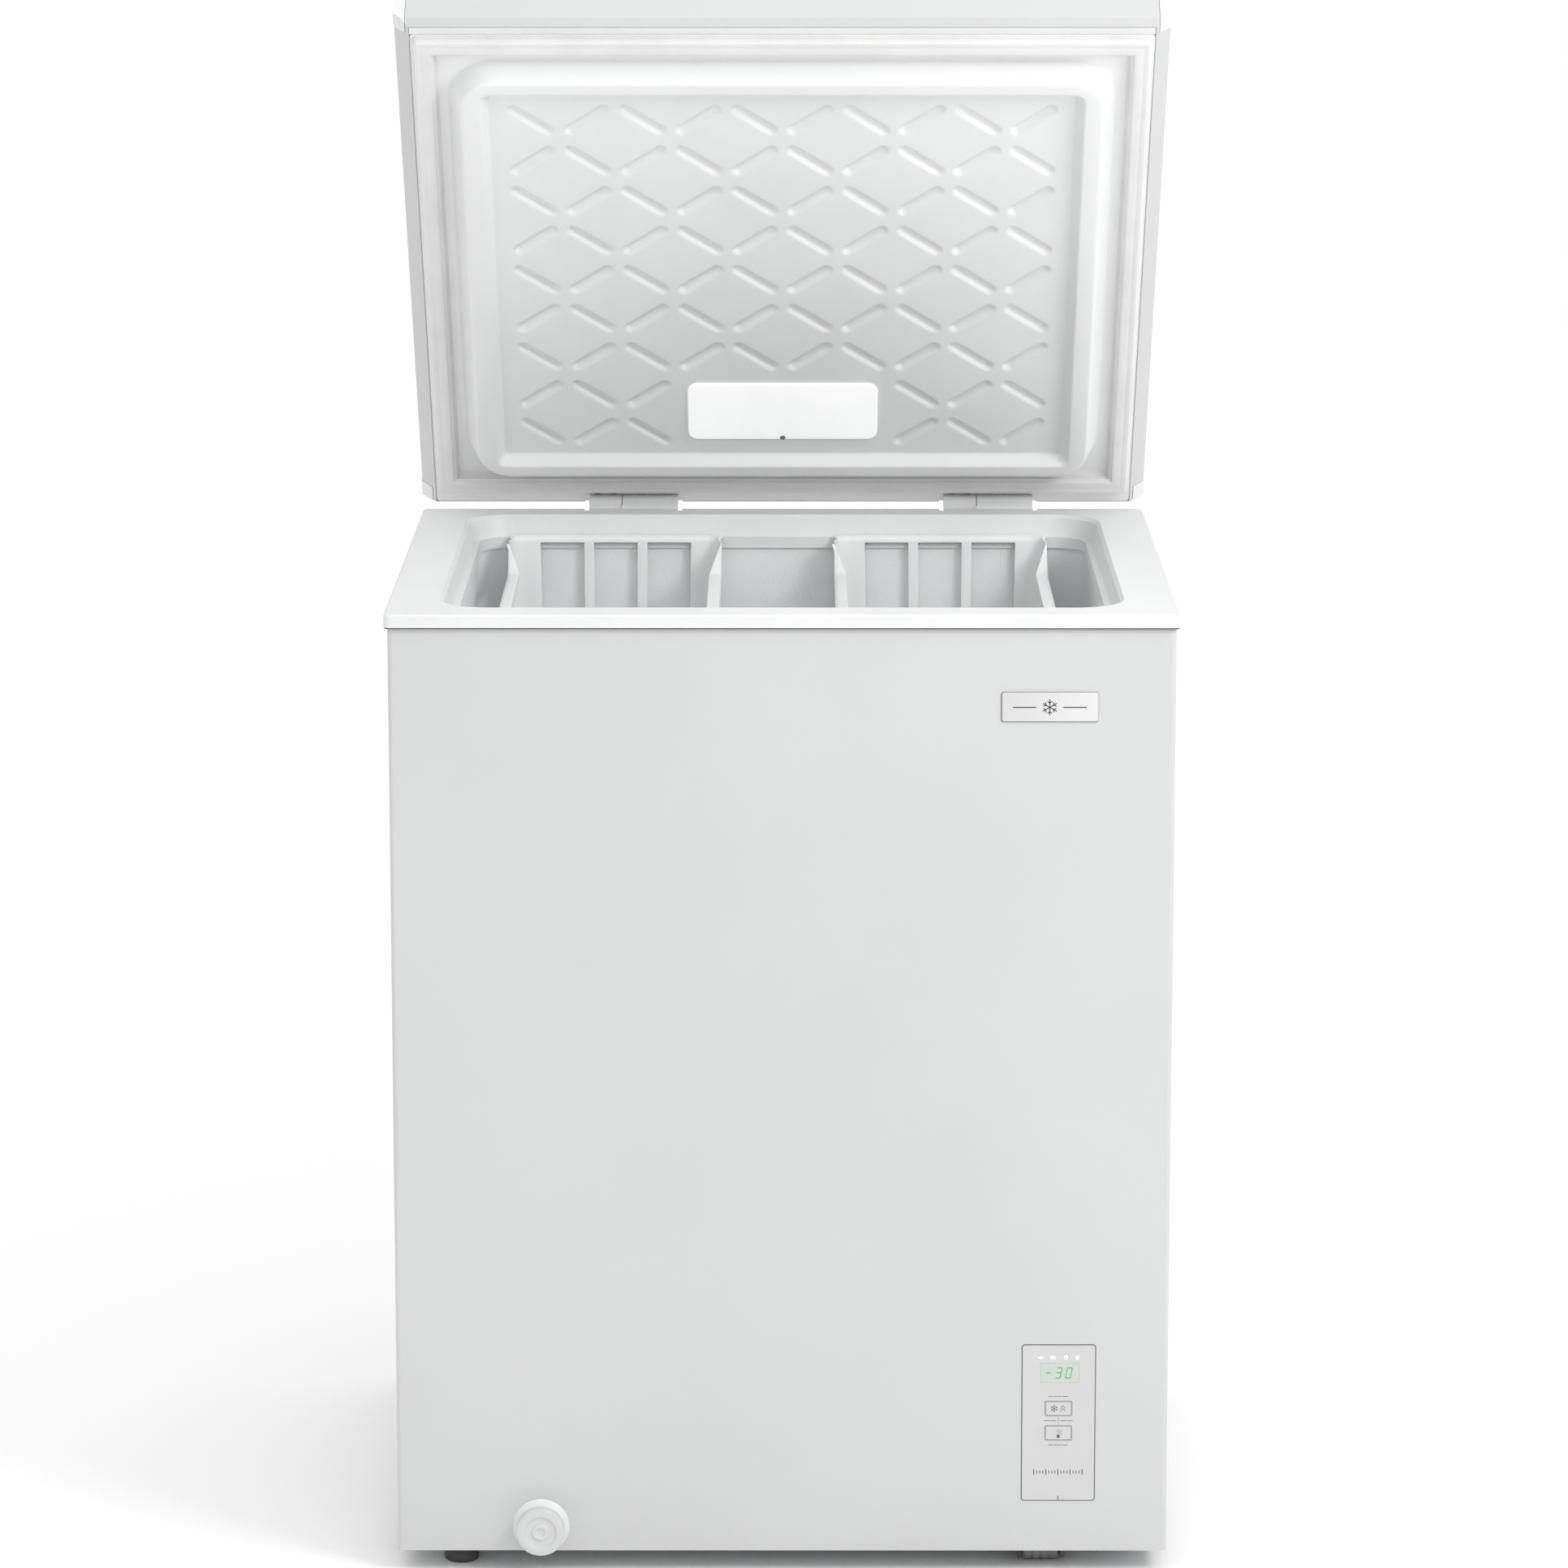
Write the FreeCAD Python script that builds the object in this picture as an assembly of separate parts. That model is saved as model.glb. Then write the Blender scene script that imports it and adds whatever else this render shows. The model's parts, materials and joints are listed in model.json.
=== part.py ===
"""Chest freezer with its lid standing open, one STEP file per piece.

Millimetres. +Z is up, the front of the cabinet faces -Y, +X is to the right as seen from the
front. The origin is on the floor, midway between the sides and midway between the drain cap in
front and the open lid behind.
"""
import FreeCAD, Part
import math
import os

from FreeCAD import Vector

os.makedirs("parts", exist_ok=True)

# Overall sizes
rim_width = 630.0
rim_depth = 529.5
rim_top = 791.0
floor_gap = 18.0
shell_inset_side = 3.0
shell_inset_front = 4.0
shell_inset_back = 4.0
sheet = 0.7
shell_corner = 4.0

# Rim collar round the opening
collar_plate = 3.0
collar_lip = 10.5
collar_corner = 6.0
collar_edge = 2.2
flat_side = 44.0
flat_front = 37.0
flat_back = 36.0
opening_corner = 38.0
opening_edge = 3.0
slope_run = 4.0
ledge_drop = 18.0
ledge_width = 5.0
skirt_drop = 27.5
skirt_wall = 2.5

# Liner, foam and machine compartment
liner_sheet = 0.8
liner_floor = 75.0
step_inside = 0.5
step_top = 290.0
compartment_top = 236.0
compartment_sheet = 1.0
tray_plate = 2.0

# Lid, measured closed
lid_gap = 9.5
lid_height = 49.0
lid_over_side = 1.5
lid_over_front = 4.4
lid_over_back = 13.4
lid_edge = 8.0
lid_sheet = 0.8
lid_side_slope = (11.5, 10.0)
lid_front_chamfer = 5.0
lid_open_deg = 54.45
lid_cap_wide = 9.0
lid_cap_front_height = 45.0
lid_cap_front_depth = 13.0
lid_cap_back_height = 18.0
lid_cap_back_depth = 16.0
lid_cap_gap = 0.3
lid_cap_proud = 0.6

# Lid liner: raised plinth that drops into the opening, with a shallow recess
lid_liner_wall = 2.0
plinth_drop = 24.5
plinth_gap = 0.8
plinth_crest_wide_side = 16.0
plinth_crest_wide = 12.5
plinth_draft_side = 11.0
plinth_draft = 6.0
plinth_corner_step = 10.0
recess_depth = 10.5
recess_draft = 6.3
recess_corner = 4.5

# Gasket and front trim of the lid
gasket_wide = 19.8
gasket_in_side = 13.0
gasket_in_front = 9.2
gasket_clear_pocket = 0.8
gasket_squeeze_gap = 0.3
gasket_corner = 5.0
magnet_wide = 8.0
magnet_thick = 3.0
magnet_clear = 0.2
trim_clear = 0.4

# Lamp in the lid
lamp_width = 163.0
lamp_length = 65.3
lamp_from_plinth = 37.4
lamp_corner = 6.0
lamp_proud = 2.0
lamp_well = 12.0
lamp_wall = 1.6
lamp_notch_radius = 2.5

# Hinges
hinge_x = (-130.8, 179.8)
hinge_length = 77.7
hinge_lid_part = 28.5
hinge_split = 0.7
hinge_radius = 6.5
hinge_behind = 9.0
hinge_above = 4.0
hinge_plate = 3.0
hinge_plate_drop = 49.0
hinge_flange = 11.0
hinge_notch_side = 4.0
hinge_notch_gap = 1.0
hinge_pocket = 3.0
hinge_arm_reach = 5.5
hinge_arm = 2.5
pin_radius = 2.5
pin_clear = 0.05
screw_radius = 2.0
screw_head_radius = 3.3
screw_head = 1.6
screw_length = 12.0

# Baskets
basket_left_inset = 23.0
basket_right_inset = 31.5
basket_width = 188.0
basket_height = 200.0
basket_wall = 3.0
basket_skirt_gap = 3.0
basket_lip = 2.0
basket_lip_gap = 0.8
basket_draft = 4.0
basket_corner = 14.0
basket_rail = 10.4
basket_side_drop = 24.0
basket_hook = 14.0
basket_slots = 3
basket_slot = 38.0
basket_bar = 8.5
basket_slot_top = 13.0
basket_slot_bottom = 28.0
basket_slot_corner = 5.0
basket_side_slots = 9
basket_side_bar = 12.0
basket_floor_slots = 6

# Control panel, front right
panel_from_wall = 45.3
panel_width = 58.4
panel_height = 130.2
panel_bottom = 61.2
panel_corner = 2.0
panel_joint = 0.8
panel_proud = 0.6
panel_plate = 2.6
panel_flange = 4.0
display_size = (31.5, 16.5)
display_centre = (0.8, 107.1)
display_depth = 1.2
key_size = (21.6, 12.4)
key_heights = (77.2, 56.6)
key_gap = 0.35
key_thick = 2.2
key_travel = 0.8
board_size = (48.0, 112.0)
board_thick = 1.6
board_behind = 9.0

# Name plate, left blank
plate_from_side = 100.1
plate_from_top = 71.6
plate_size = (77.0, 24.0)
plate_thick = 1.4
plate_corner = 2.0

# Drain, front left
drain_from_side = 116.4
drain_z = 38.5
drain_cap_radius = 19.8
drain_cap_depth = 9.0
drain_cap_ring = (12.8, 6.0)
drain_reach = 17.0
drain_boss_radius = 23.0
drain_boss_depth = 6.0
drain_pipe_radius = 8.0
drain_tube_radius = 5.5
drain_tube_clear = 0.1
drain_tube_bore = 4.0
drain_tube_length = 42.0
drain_back = 78.0

# Feet and rollers
foot_from_side = 50.0
foot_inset = 34.0
foot_radius = 14.0
foot_pad = 11.0
foot_stud_radius = 5.0
foot_stud_top = 42.0
foot_socket_radius = 12.0
roller_from_wall = 32.7
roller_inset = 34.0
roller_radius = 15.0
roller_width = 30.0
roller_play = 0.5
bracket_wall = 3.5
bracket_over = 1.5
bracket_top = 37.0
axle_radius = 3.0
axle_clear = 0.06

# Compressor and refrigerant circuit
compressor_clear_wall = 1.7
compressor_clear_shell = 7.3
grommet_clear_bracket = 4.2
compressor_radius = 62.0
compressor_base = 48.0
compressor_height = 138.0
compressor_rounding = 26.0
compressor_waist = 62.0
compressor_foot = 3.0
grommet_inset = 12.0
grommet_radius = 8.0
bolt_radius = 3.0
tube_radius = 3.0
evaporator_radius = 4.0
evaporator_turns = 6
evaporator_pitch = 82.0
condenser_turns = 7
condenser_pitch = 60.0
condenser_bend = 14.0
dryer_radius = 9.0
dryer_length = 70.0
dryer_bottom = 70.0
dryer_from_wall = 22.0

# Back
grille_size = (112.0, 168.0)
grille_plate = 3.0
grille_slots = 12
grille_from_wall = 66.7
grille_frame = 12.0
grille_bar = 6.0
grille_bottom = 40.0
gland_from_wall = 111.7
gland_z = 221.5
gland_radius = 9.0
gland_bore = 4.0

# Places worked out from the sizes above
open_rad = math.radians(lid_open_deg)
lid_back_reach = (
    hinge_behind
    + (lid_over_back - hinge_behind - lid_edge) * math.cos(open_rad)
    + (lid_gap + lid_height - lid_edge - hinge_above) * math.sin(open_rad)
    + lid_edge
)
front_reach = drain_reach - shell_inset_front
rim_front = -(rim_depth + lid_back_reach - front_reach) / 2
rim_back = rim_front + rim_depth
rim_half = rim_width / 2
shell_half = rim_half - shell_inset_side
shell_front = rim_front + shell_inset_front
shell_back = rim_back - shell_inset_back
shell_top = rim_top - collar_plate
opening = (-(rim_half - flat_side), rim_half - flat_side, rim_front + flat_front, rim_back - flat_back)
ledge_z = rim_top - ledge_drop
skirt_bottom = rim_top - skirt_drop
liner_top = ledge_z - skirt_wall
hinge_y = rim_back + hinge_behind
hinge_z = rim_top + hinge_above
lid_bottom = rim_top + lid_gap
lid_top = lid_bottom + lid_height
lid_front = rim_front - lid_over_front
lid_back = rim_back + lid_over_back
lid_half = rim_half + lid_over_side
hinge_pocket_depth = hinge_radius + hinge_arm_reach
compartment_width = compressor_clear_wall + 2 * compressor_radius + compressor_clear_shell
compartment_x = shell_half - sheet - compartment_width
step_width = compartment_width - step_inside
compressor_x = compartment_x + compressor_clear_wall + compressor_radius
grommet_spread = 2 * (compressor_radius - grommet_inset)
roller_x = compartment_x + roller_from_wall
grille_x = compartment_x + grille_from_wall
gland_x = compartment_x + gland_from_wall
panel_x = compartment_x + panel_from_wall
plate_x = shell_half - plate_from_side
plate_z = shell_top - plate_from_top
drain_x = -shell_half + drain_from_side
foot_x = -shell_half + foot_from_side


def grown(area, amount):
    """The rectangle (x0, x1, y0, y1) with every side moved outwards."""
    x0, x1, y0, y1 = area
    return (x0 - amount, x1 + amount, y0 - amount, y1 + amount)


def block(x0, x1, y0, y1, z0, z1):
    return Part.makeBox(x1 - x0, y1 - y0, z1 - z0, Vector(x0, y0, z0))


def outline(area, radius, z):
    """A rectangle with round corners, as a closed wire at height z."""
    x0, x1, y0, y1 = area
    corners = ((x1, y1, 0), (x0, y1, 90), (x0, y0, 180), (x1, y0, 270))
    arcs = []
    for x, y, start in corners:
        turn = math.radians(start)
        along = Vector(math.cos(turn), math.sin(turn), 0)
        across = Vector(-math.sin(turn), math.cos(turn), 0)
        centre = Vector(x, y, z) - (along + across) * radius
        middle = centre + (along + across).normalize() * radius
        arcs.append(Part.Arc(centre + along * radius, middle, centre + across * radius).toShape())
    edges = []
    for index, arc in enumerate(arcs):
        following = arcs[(index + 1) % len(arcs)]
        edges.append(arc)
        edges.append(Part.LineSegment(arc.Vertexes[-1].Point, following.Vertexes[0].Point).toShape())
    return Part.Wire(edges)


def prism(area, radius, z0, z1):
    return Part.Face(outline(area, radius, z0)).extrude(Vector(0, 0, z1 - z0))


def taper(area0, radius0, z0, area1, radius1, z1):
    return Part.makeLoft([outline(area0, radius0, z0), outline(area1, radius1, z1)], True, True)


def rod(x, y, z, direction, radius, length):
    return Part.makeCylinder(radius, length, Vector(x, y, z), Vector(*direction))


def section_along_x(points, x0, x1):
    """A polygon of (y, z) points carried from x0 to x1."""
    corners = [Vector(x0, y, z) for y, z in points]
    face = Part.Face(Part.makePolygon(corners + [corners[0]]))
    return face.extrude(Vector(x1 - x0, 0, 0))


def front_plate(x, z, size, y0, y1, radius):
    """A round-cornered plate seen from the front, its middle at (x, z)."""
    half_x, half_z = size[0] / 2, size[1] / 2
    plate = prism((-half_x, half_x, -half_z, half_z), radius, 0, y1 - y0)
    return plate.rotated(Vector(0, 0, 0), Vector(1, 0, 0), 90).translated(Vector(x, y1, z))


def joined(shapes):
    return shapes[0].fuse(shapes[1:]).removeSplitter()


def bent_tube(points, bend, radius):
    """A round tube along straight runs joined by tangent arcs."""
    nodes = [Vector(*point) for point in points]
    edges = []
    last = nodes[0]
    for before, corner, after in zip(nodes, nodes[1:], nodes[2:]):
        back = (before - corner).normalize()
        ahead = (after - corner).normalize()
        half_turn = (math.pi - back.getAngle(ahead)) / 2
        reach = bend * math.tan(half_turn)
        start = corner + back * reach
        end = corner + ahead * reach
        centre = corner + (back + ahead).normalize() * (bend / math.cos(half_turn))
        middle = centre + (corner - centre).normalize() * bend
        edges.append(Part.LineSegment(last, start).toShape())
        edges.append(Part.Arc(start, middle, end).toShape())
        last = end
    edges.append(Part.LineSegment(last, nodes[-1]).toShape())
    circle = Part.Wire(Part.makeCircle(radius, nodes[0], nodes[1] - nodes[0]))
    return Part.Wire(edges).makePipeShell([circle], True, False, 1)


def ring_tube(area, corner, z, radius):
    """A round tube along a closed round-cornered rectangle."""
    path = outline(area, corner, z)
    start = path.Edges[1].Vertexes[0].Point
    ahead = path.Edges[1].Vertexes[-1].Point - start
    middle = start + ahead * 0.5
    first = Part.LineSegment(middle, path.Edges[1].Vertexes[-1].Point).toShape()
    last = Part.LineSegment(start, middle).toShape()
    edges = [first] + path.Edges[2:] + [path.Edges[0], last]
    circle = Part.Wire(Part.makeCircle(radius, middle, ahead))
    return Part.Wire(edges).makePipeShell([circle], True, False, 1)


def save(name, shape):
    shape.exportStep("parts/" + name + ".step")


def open_lid(shape):
    return shape.rotated(Vector(0, hinge_y, hinge_z), Vector(-1, 0, 0), lid_open_deg)


def save_lid(name, shape):
    save(name, open_lid(shape))


def screw(x, y, z, direction):
    """A pan head screw whose head sits on the point and whose shank goes along the direction."""
    dx, dy, dz = direction
    head = rod(x - dx * screw_head, y - dy * screw_head, z - dz * screw_head, direction,
               screw_head_radius, screw_head)
    return joined([head, rod(x, y, z, direction, screw_radius, screw_length)])


def shank(x, y, z, direction, clear):
    return rod(x, y, z, direction, screw_radius + clear, screw_length + clear)


# Cabinet: shell, back, collar, liner and foam
slope_area = grown(opening, -slope_run)
skirt_area = grown(slope_area, -ledge_width)
liner_area = grown(skirt_area, skirt_wall)
opening_inner = opening_corner - slope_run
skirt_corner = opening_inner - ledge_width
liner_corner = skirt_corner + skirt_wall


def cabinet_plan(inset, back, z0, z1):
    """The cabinet's plan, round at its front corners and square behind, drawn in by the inset."""
    side = shell_half - inset
    body = prism((-side, side, shell_front + inset, back + 2 * shell_corner), shell_corner - inset, z0, z1)
    return body.cut(block(-rim_half, rim_half, back, back + 4 * shell_corner, z0 - 1, z1 + 1))


def notch_area(index):
    """Where the hinge stands in the back edge of the collar."""
    half = hinge_length / 2 + hinge_notch_side
    depth = hinge_flange + hinge_notch_gap
    return (hinge_x[index] - half, hinge_x[index] + half, rim_back - depth, rim_back + 1)


def make_rim_collar():
    outer = prism((-rim_half, rim_half, rim_front, rim_back), collar_corner, rim_top - collar_lip, rim_top)
    edges = [edge for edge in outer.Edges if all(abs(v.Z - rim_top) < 0.01 for v in edge.Vertexes)]
    outer = outer.makeFillet(collar_edge, edges)
    outer = outer.cut(cabinet_plan(0, shell_back, rim_top - collar_lip - 1, shell_top))
    sleeve = joined([collar_sleeve(), prism(liner_area, liner_corner, skirt_bottom, liner_top)])
    inside = [
        taper(grown(opening, opening_edge), opening_corner + opening_edge, rim_top,
              opening, opening_corner, rim_top - opening_edge),
        taper(opening, opening_corner, rim_top - opening_edge, slope_area, opening_inner, ledge_z),
        prism(skirt_area, skirt_corner, skirt_bottom, ledge_z),
    ]
    collar = joined([outer, sleeve]).cut(inside)
    for index in range(len(hinge_x)):
        x0, x1, y0, y1 = notch_area(index)
        collar = collar.cut(block(x0, x1, y0, y1, rim_top - collar_lip - 1, rim_top + 1))
    return collar


def collar_sleeve():
    """The outside of the collar's slope and ledge, which the foam is moulded round."""
    return joined([
        taper(grown(opening, skirt_wall), opening_corner + skirt_wall, rim_top - collar_plate / 2,
              grown(slope_area, skirt_wall), opening_inner + skirt_wall, ledge_z),
        prism(grown(slope_area, skirt_wall), opening_inner + skirt_wall, liner_top, ledge_z),
    ])


def liner_body(wall):
    """The tub with its step over the machine compartment, grown by a wall."""
    x0, x1, y0, y1 = grown(liner_area, wall)
    upper = prism((x0, x1, y0, y1), liner_corner + wall, step_top - wall, liner_top)
    step_x = x1 - step_width
    lower = prism((x0, step_x, y0, y1), liner_corner + wall, liner_floor - wall, step_top)
    return joined([upper, lower])


def drain_path(radius):
    """The bore from the liner's floor down and forward through the front of the shell."""
    y = shell_front + drain_back
    down = rod(drain_x, y, drain_z, (0, 0, 1), radius, liner_floor - liner_sheet - drain_z)
    forward = rod(drain_x, shell_front, drain_z, (0, 1, 0), radius, drain_back)
    elbow = Part.makeSphere(radius, Vector(drain_x, y, drain_z))
    return joined([down, forward, elbow])


foot_places = [(foot_x, shell_front + foot_inset), (foot_x, shell_back - foot_inset)]
roller_places = [(roller_x, shell_front + roller_inset), (roller_x, shell_back - roller_inset)]
bracket_front = shell_back - roller_inset - roller_radius - bracket_over
compressor_y = bracket_front - grommet_clear_bracket - grommet_radius - grommet_spread / 2
grille_z = grille_bottom + grille_size[1] / 2
panel_z = panel_bottom + panel_height / 2
panel_hole = (panel_width + 2 * panel_joint, panel_height + 2 * panel_joint)
compartment_space = block(compartment_x, shell_half, shell_front, shell_back, floor_gap, compartment_top)
foot_socket_top = foot_stud_top + 4


def back_screws():
    """Centre and direction of each screw that holds a hinge to the back."""
    z = rim_top - hinge_plate_drop + 2.4 * screw_head_radius
    return [(x + side * hinge_length / 3.4, rim_back - shell_inset_back + hinge_plate, z, (0, -1, 0))
            for x in hinge_x for side in (-1, 1)]


def make_outer_shell():
    outer = cabinet_plan(0, shell_back, floor_gap, shell_top)
    shell = outer.cut(cabinet_plan(sheet, shell_back + 1, floor_gap - 1, shell_top + 1))
    shell = shell.cut(front_plate(panel_x, panel_z, panel_hole, shell_front - 1, shell_front + 2,
                                  panel_corner + panel_joint))
    return shell.cut(rod(drain_x, shell_front - 1, drain_z, (0, 1, 0), drain_pipe_radius, 3))


def make_back_panel():
    side = shell_half - sheet
    panel = block(-side, side, shell_back - sheet, shell_back, floor_gap, shell_top)
    width, height = grille_size
    panel = panel.cut(block(grille_x - width / 2 + 6, grille_x + width / 2 - 6, shell_back - 2, shell_back + 1,
                            grille_bottom + 6, grille_bottom + height - 6))
    panel = panel.cut(rod(gland_x, shell_back - 2, gland_z, (0, 1, 0), gland_radius, 4))
    for x, y, z, direction in back_screws():
        panel = panel.cut(shank(x, y, z, direction, 0))
    return panel


def make_base_pan():
    pan = cabinet_plan(sheet, shell_back - sheet, floor_gap, floor_gap + compartment_sheet)
    pan = pan.cut(block(compartment_x, shell_half, shell_front, shell_back, 0, rim_top))
    for x, y in foot_places:
        pan = pan.cut(rod(x, y, 0, (0, 0, 1), foot_socket_radius, foot_socket_top))
    return pan


def make_compartment_panel():
    """The bent sheet that parts the foam from the machine compartment."""
    y0, y1 = shell_front + sheet, shell_back - sheet
    wall = block(compartment_x, compartment_x + compartment_sheet, y0, y1,
                 floor_gap + tray_plate, compartment_top)
    roof = block(compartment_x, shell_half - sheet, y0, y1,
                 compartment_top - compartment_sheet, compartment_top)
    panel = joined([wall, roof]).common(cabinet_plan(sheet, shell_back - sheet, 0, rim_top))
    return panel.cut(rod(compartment_x - 1, line_y, line_z, (1, 0, 0), tube_radius, 4))


def make_foam():
    foam = cabinet_plan(sheet, shell_back - sheet, floor_gap + compartment_sheet, shell_top)
    line_hole = rod(line_start, line_y, line_z, (1, 0, 0), tube_radius, 20)
    tools = [line_hole, liner_body(liner_sheet), collar_sleeve(), compartment_space,
             drain_path(drain_pipe_radius)]
    for x, y in foot_places:
        tools.append(rod(x, y, 0, (0, 0, 1), foot_socket_radius, foot_socket_top))
    for x, y, z, direction in back_screws():
        tools.append(shank(x, y, z, direction, 0))
    return foam.cut(tools)


def make_liner():
    liner = liner_body(liner_sheet).cut(liner_body(0).fuse(
        prism(liner_area, liner_corner, liner_top - 1, liner_top + 1)))
    hole = rod(drain_x, shell_front + drain_back, liner_floor - 2, (0, 0, 1), drain_tube_radius, 4)
    return liner.cut(hole)


# Refrigerant circuit
line_y = compressor_y - compressor_radius - 26.0
line_z = compartment_top - 18
line_start = compartment_x - 6
evaporator_area = grown(liner_area, liner_sheet + evaporator_radius + 0.3)
condenser_front = shell_front + sheet + tube_radius + 0.3


def make_evaporator():
    """Turns of tube round the upper part of the liner, each in its own plane."""
    corner = liner_corner + liner_sheet + evaporator_radius
    heights = [step_top + 24 + evaporator_pitch * index for index in range(evaporator_turns)]
    return Part.makeCompound([ring_tube(evaporator_area, corner, z, evaporator_radius)
                              for z in heights if z < liner_top - 12])


def make_condenser():
    """A serpentine that gives its heat to the front of the shell from inside."""
    reach = shell_half - sheet - 40
    points = []
    for index in range(condenser_turns):
        z = compartment_top + 36 + condenser_pitch * index
        ends = (-reach, reach) if index % 2 else (reach, -reach)
        points += [(ends[0], condenser_front, z), (ends[1], condenser_front, z)]
    return bent_tube(points, condenser_bend, tube_radius)


def grommet_places():
    half = grommet_spread / 2
    return [(compressor_x + sx * half * 0.92, compressor_y + sy * half)
            for sx in (-1, 1) for sy in (-1, 1)]


def make_compressor():
    """A welded steel shell of two halves, the upper one wider, on a foot plate."""
    x, y, base = compressor_x, compressor_y, compressor_base
    top = base + compressor_height
    waist = base + compressor_waist
    lower = rod(x, y, base, (0, 0, 1), compressor_radius - 2, compressor_waist)
    upper = rod(x, y, waist, (0, 0, 1), compressor_radius, top - waist)
    low_rim = [edge for edge in lower.Edges if edge.BoundBox.ZMax < base + 0.01]
    high_rim = [edge for edge in upper.Edges if edge.BoundBox.ZMin > top - 0.01]
    lower = lower.makeFillet(compressor_rounding * 0.6, low_rim)
    upper = upper.makeFillet(compressor_rounding, high_rim)
    half = grommet_spread / 2 + grommet_radius
    foot = prism((x - half, x + half, y - half, y + half), grommet_radius, base - compressor_foot, base)
    body = joined([lower, upper, foot])
    holes = [rod(hole_x, hole_y, base - compressor_foot - 1, (0, 0, 1), bolt_radius + 0.6, compressor_foot + 3)
             for hole_x, hole_y in grommet_places()]
    return body.cut(holes)


def make_grommets():
    rings = []
    for x, y in grommet_places():
        height = compressor_base - compressor_foot - floor_gap - tray_plate
        ring = rod(x, y, floor_gap + tray_plate, (0, 0, 1), grommet_radius, height)
        rings.append(ring.cut(rod(x, y, floor_gap, (0, 0, 1), bolt_radius + 0.2, height + 10)))
    return Part.makeCompound(rings)


def make_compressor_bolts():
    bolts = []
    for x, y in grommet_places():
        shaft = rod(x, y, floor_gap - 4, (0, 0, 1), bolt_radius, compressor_base - floor_gap + 8)
        cap = rod(x, y, compressor_base + 0.2, (0, 0, 1), bolt_radius * 1.9, 4)
        bolts.append(joined([shaft, cap]))
    return Part.makeCompound(bolts)


def make_start_relay():
    face = compressor_y - compressor_radius
    relay = block(compressor_x - 20, compressor_x + 20, face - 22, face + 12,
                  compressor_base + 40, compressor_base + 92)
    return relay.cut(rod(compressor_x, compressor_y, 0, (0, 0, 1), compressor_radius + 0.3, rim_top))


dryer_x = compartment_x + dryer_from_wall
dryer_y = compressor_y - compressor_radius - 40.0


def make_filter_dryer():
    body = rod(dryer_x, dryer_y, dryer_bottom, (0, 0, 1), dryer_radius, dryer_length)
    return body.makeFillet(dryer_radius * 0.6, [edge for edge in body.Edges if edge.Closed])


def make_refrigerant_lines():
    """Discharge line from the compressor and suction line back from the foam."""
    top = compressor_base + compressor_height
    stub_x = compressor_x - compressor_radius * 0.45
    suction = bent_tube([
        (line_start, line_y, line_z),
        (stub_x, line_y, line_z),
        (stub_x, compressor_y, line_z),
        (stub_x, compressor_y, top + 0.2),
    ], 9.0, tube_radius)
    discharge = bent_tube([
        (dryer_x, dryer_y, dryer_bottom + dryer_length + 0.2),
        (dryer_x, dryer_y, top + 18),
        (compressor_x, compressor_y + 30, top + 18),
        (compressor_x, compressor_y + 30, top + 0.2),
    ], 7.0, tube_radius)
    return Part.makeCompound([suction, discharge])


def make_tray():
    tray = cabinet_plan(sheet, shell_back - sheet, floor_gap, floor_gap + tray_plate)
    tray = tray.cut(block(-shell_half, compartment_x, shell_front, shell_back, 0, rim_top))
    for x, y in grommet_places():
        tray = tray.cut(rod(x, y, floor_gap - 1, (0, 0, 1), bolt_radius, tray_plate + 2))
    half_x = roller_width / 2 + roller_play + bracket_wall
    for x, y in roller_places:
        tray = tray.cut(block(x - half_x, x + half_x, y - roller_radius - 2, y + roller_radius + 2,
                              floor_gap - 1, floor_gap + tray_plate + 1))
    return tray


# Feet and rollers
def make_feet_sockets():
    sockets = []
    for x, y in foot_places:
        socket = rod(x, y, floor_gap, (0, 0, 1), foot_socket_radius, foot_socket_top - floor_gap)
        bore = rod(x, y, floor_gap - 1, (0, 0, 1), foot_stud_radius + pin_clear, foot_stud_top - floor_gap + 2)
        sockets.append(socket.cut(bore))
    return Part.makeCompound(sockets)


def make_foot(place):
    x, y = place
    pad = rod(x, y, 0, (0, 0, 1), foot_radius, foot_pad)
    pad = pad.makeFillet(2.0, [edge for edge in pad.Edges if edge.Closed and edge.CenterOfMass.z < 1])
    stud = rod(x, y, foot_pad, (0, 0, 1), foot_stud_radius, foot_stud_top - foot_pad)
    return joined([pad, stud])


def make_roller_brackets():
    brackets = []
    half = roller_width / 2 + roller_play
    for x, y in roller_places:
        y0, y1 = y - roller_radius - bracket_over, y + roller_radius + bracket_over
        outer = block(x - half - bracket_wall, x + half + bracket_wall, y0, y1, 6, bracket_top)
        inner = block(x - half, x + half, y0, y1, 5, bracket_top - bracket_wall)
        bracket = outer.cut(inner)
        flange = block(x - half - bracket_wall - 7, x + half + bracket_wall + 7, y0, y1,
                       floor_gap + tray_plate, floor_gap + tray_plate + 2)
        flange = flange.cut(block(x - half, x + half, y0, y1, 0, bracket_top - bracket_wall))
        bracket = joined([bracket, flange])
        brackets.append(bracket.cut(rod(x - 40, y, roller_radius, (1, 0, 0), axle_radius, 80)))
    return Part.makeCompound(brackets)


def make_axles():
    half = roller_width / 2 + roller_play + bracket_wall
    return Part.makeCompound([rod(x - half, y, roller_radius, (1, 0, 0), axle_radius, 2 * half)
                              for x, y in roller_places])


def make_roller(place):
    x, y = place
    roller = rod(x - roller_width / 2, y, roller_radius, (1, 0, 0), roller_radius, roller_width)
    roller = roller.makeFillet(1.5, [edge for edge in roller.Edges if edge.Closed])
    return roller.cut(rod(x - 40, y, roller_radius, (1, 0, 0), axle_radius + axle_clear, 80))


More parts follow.
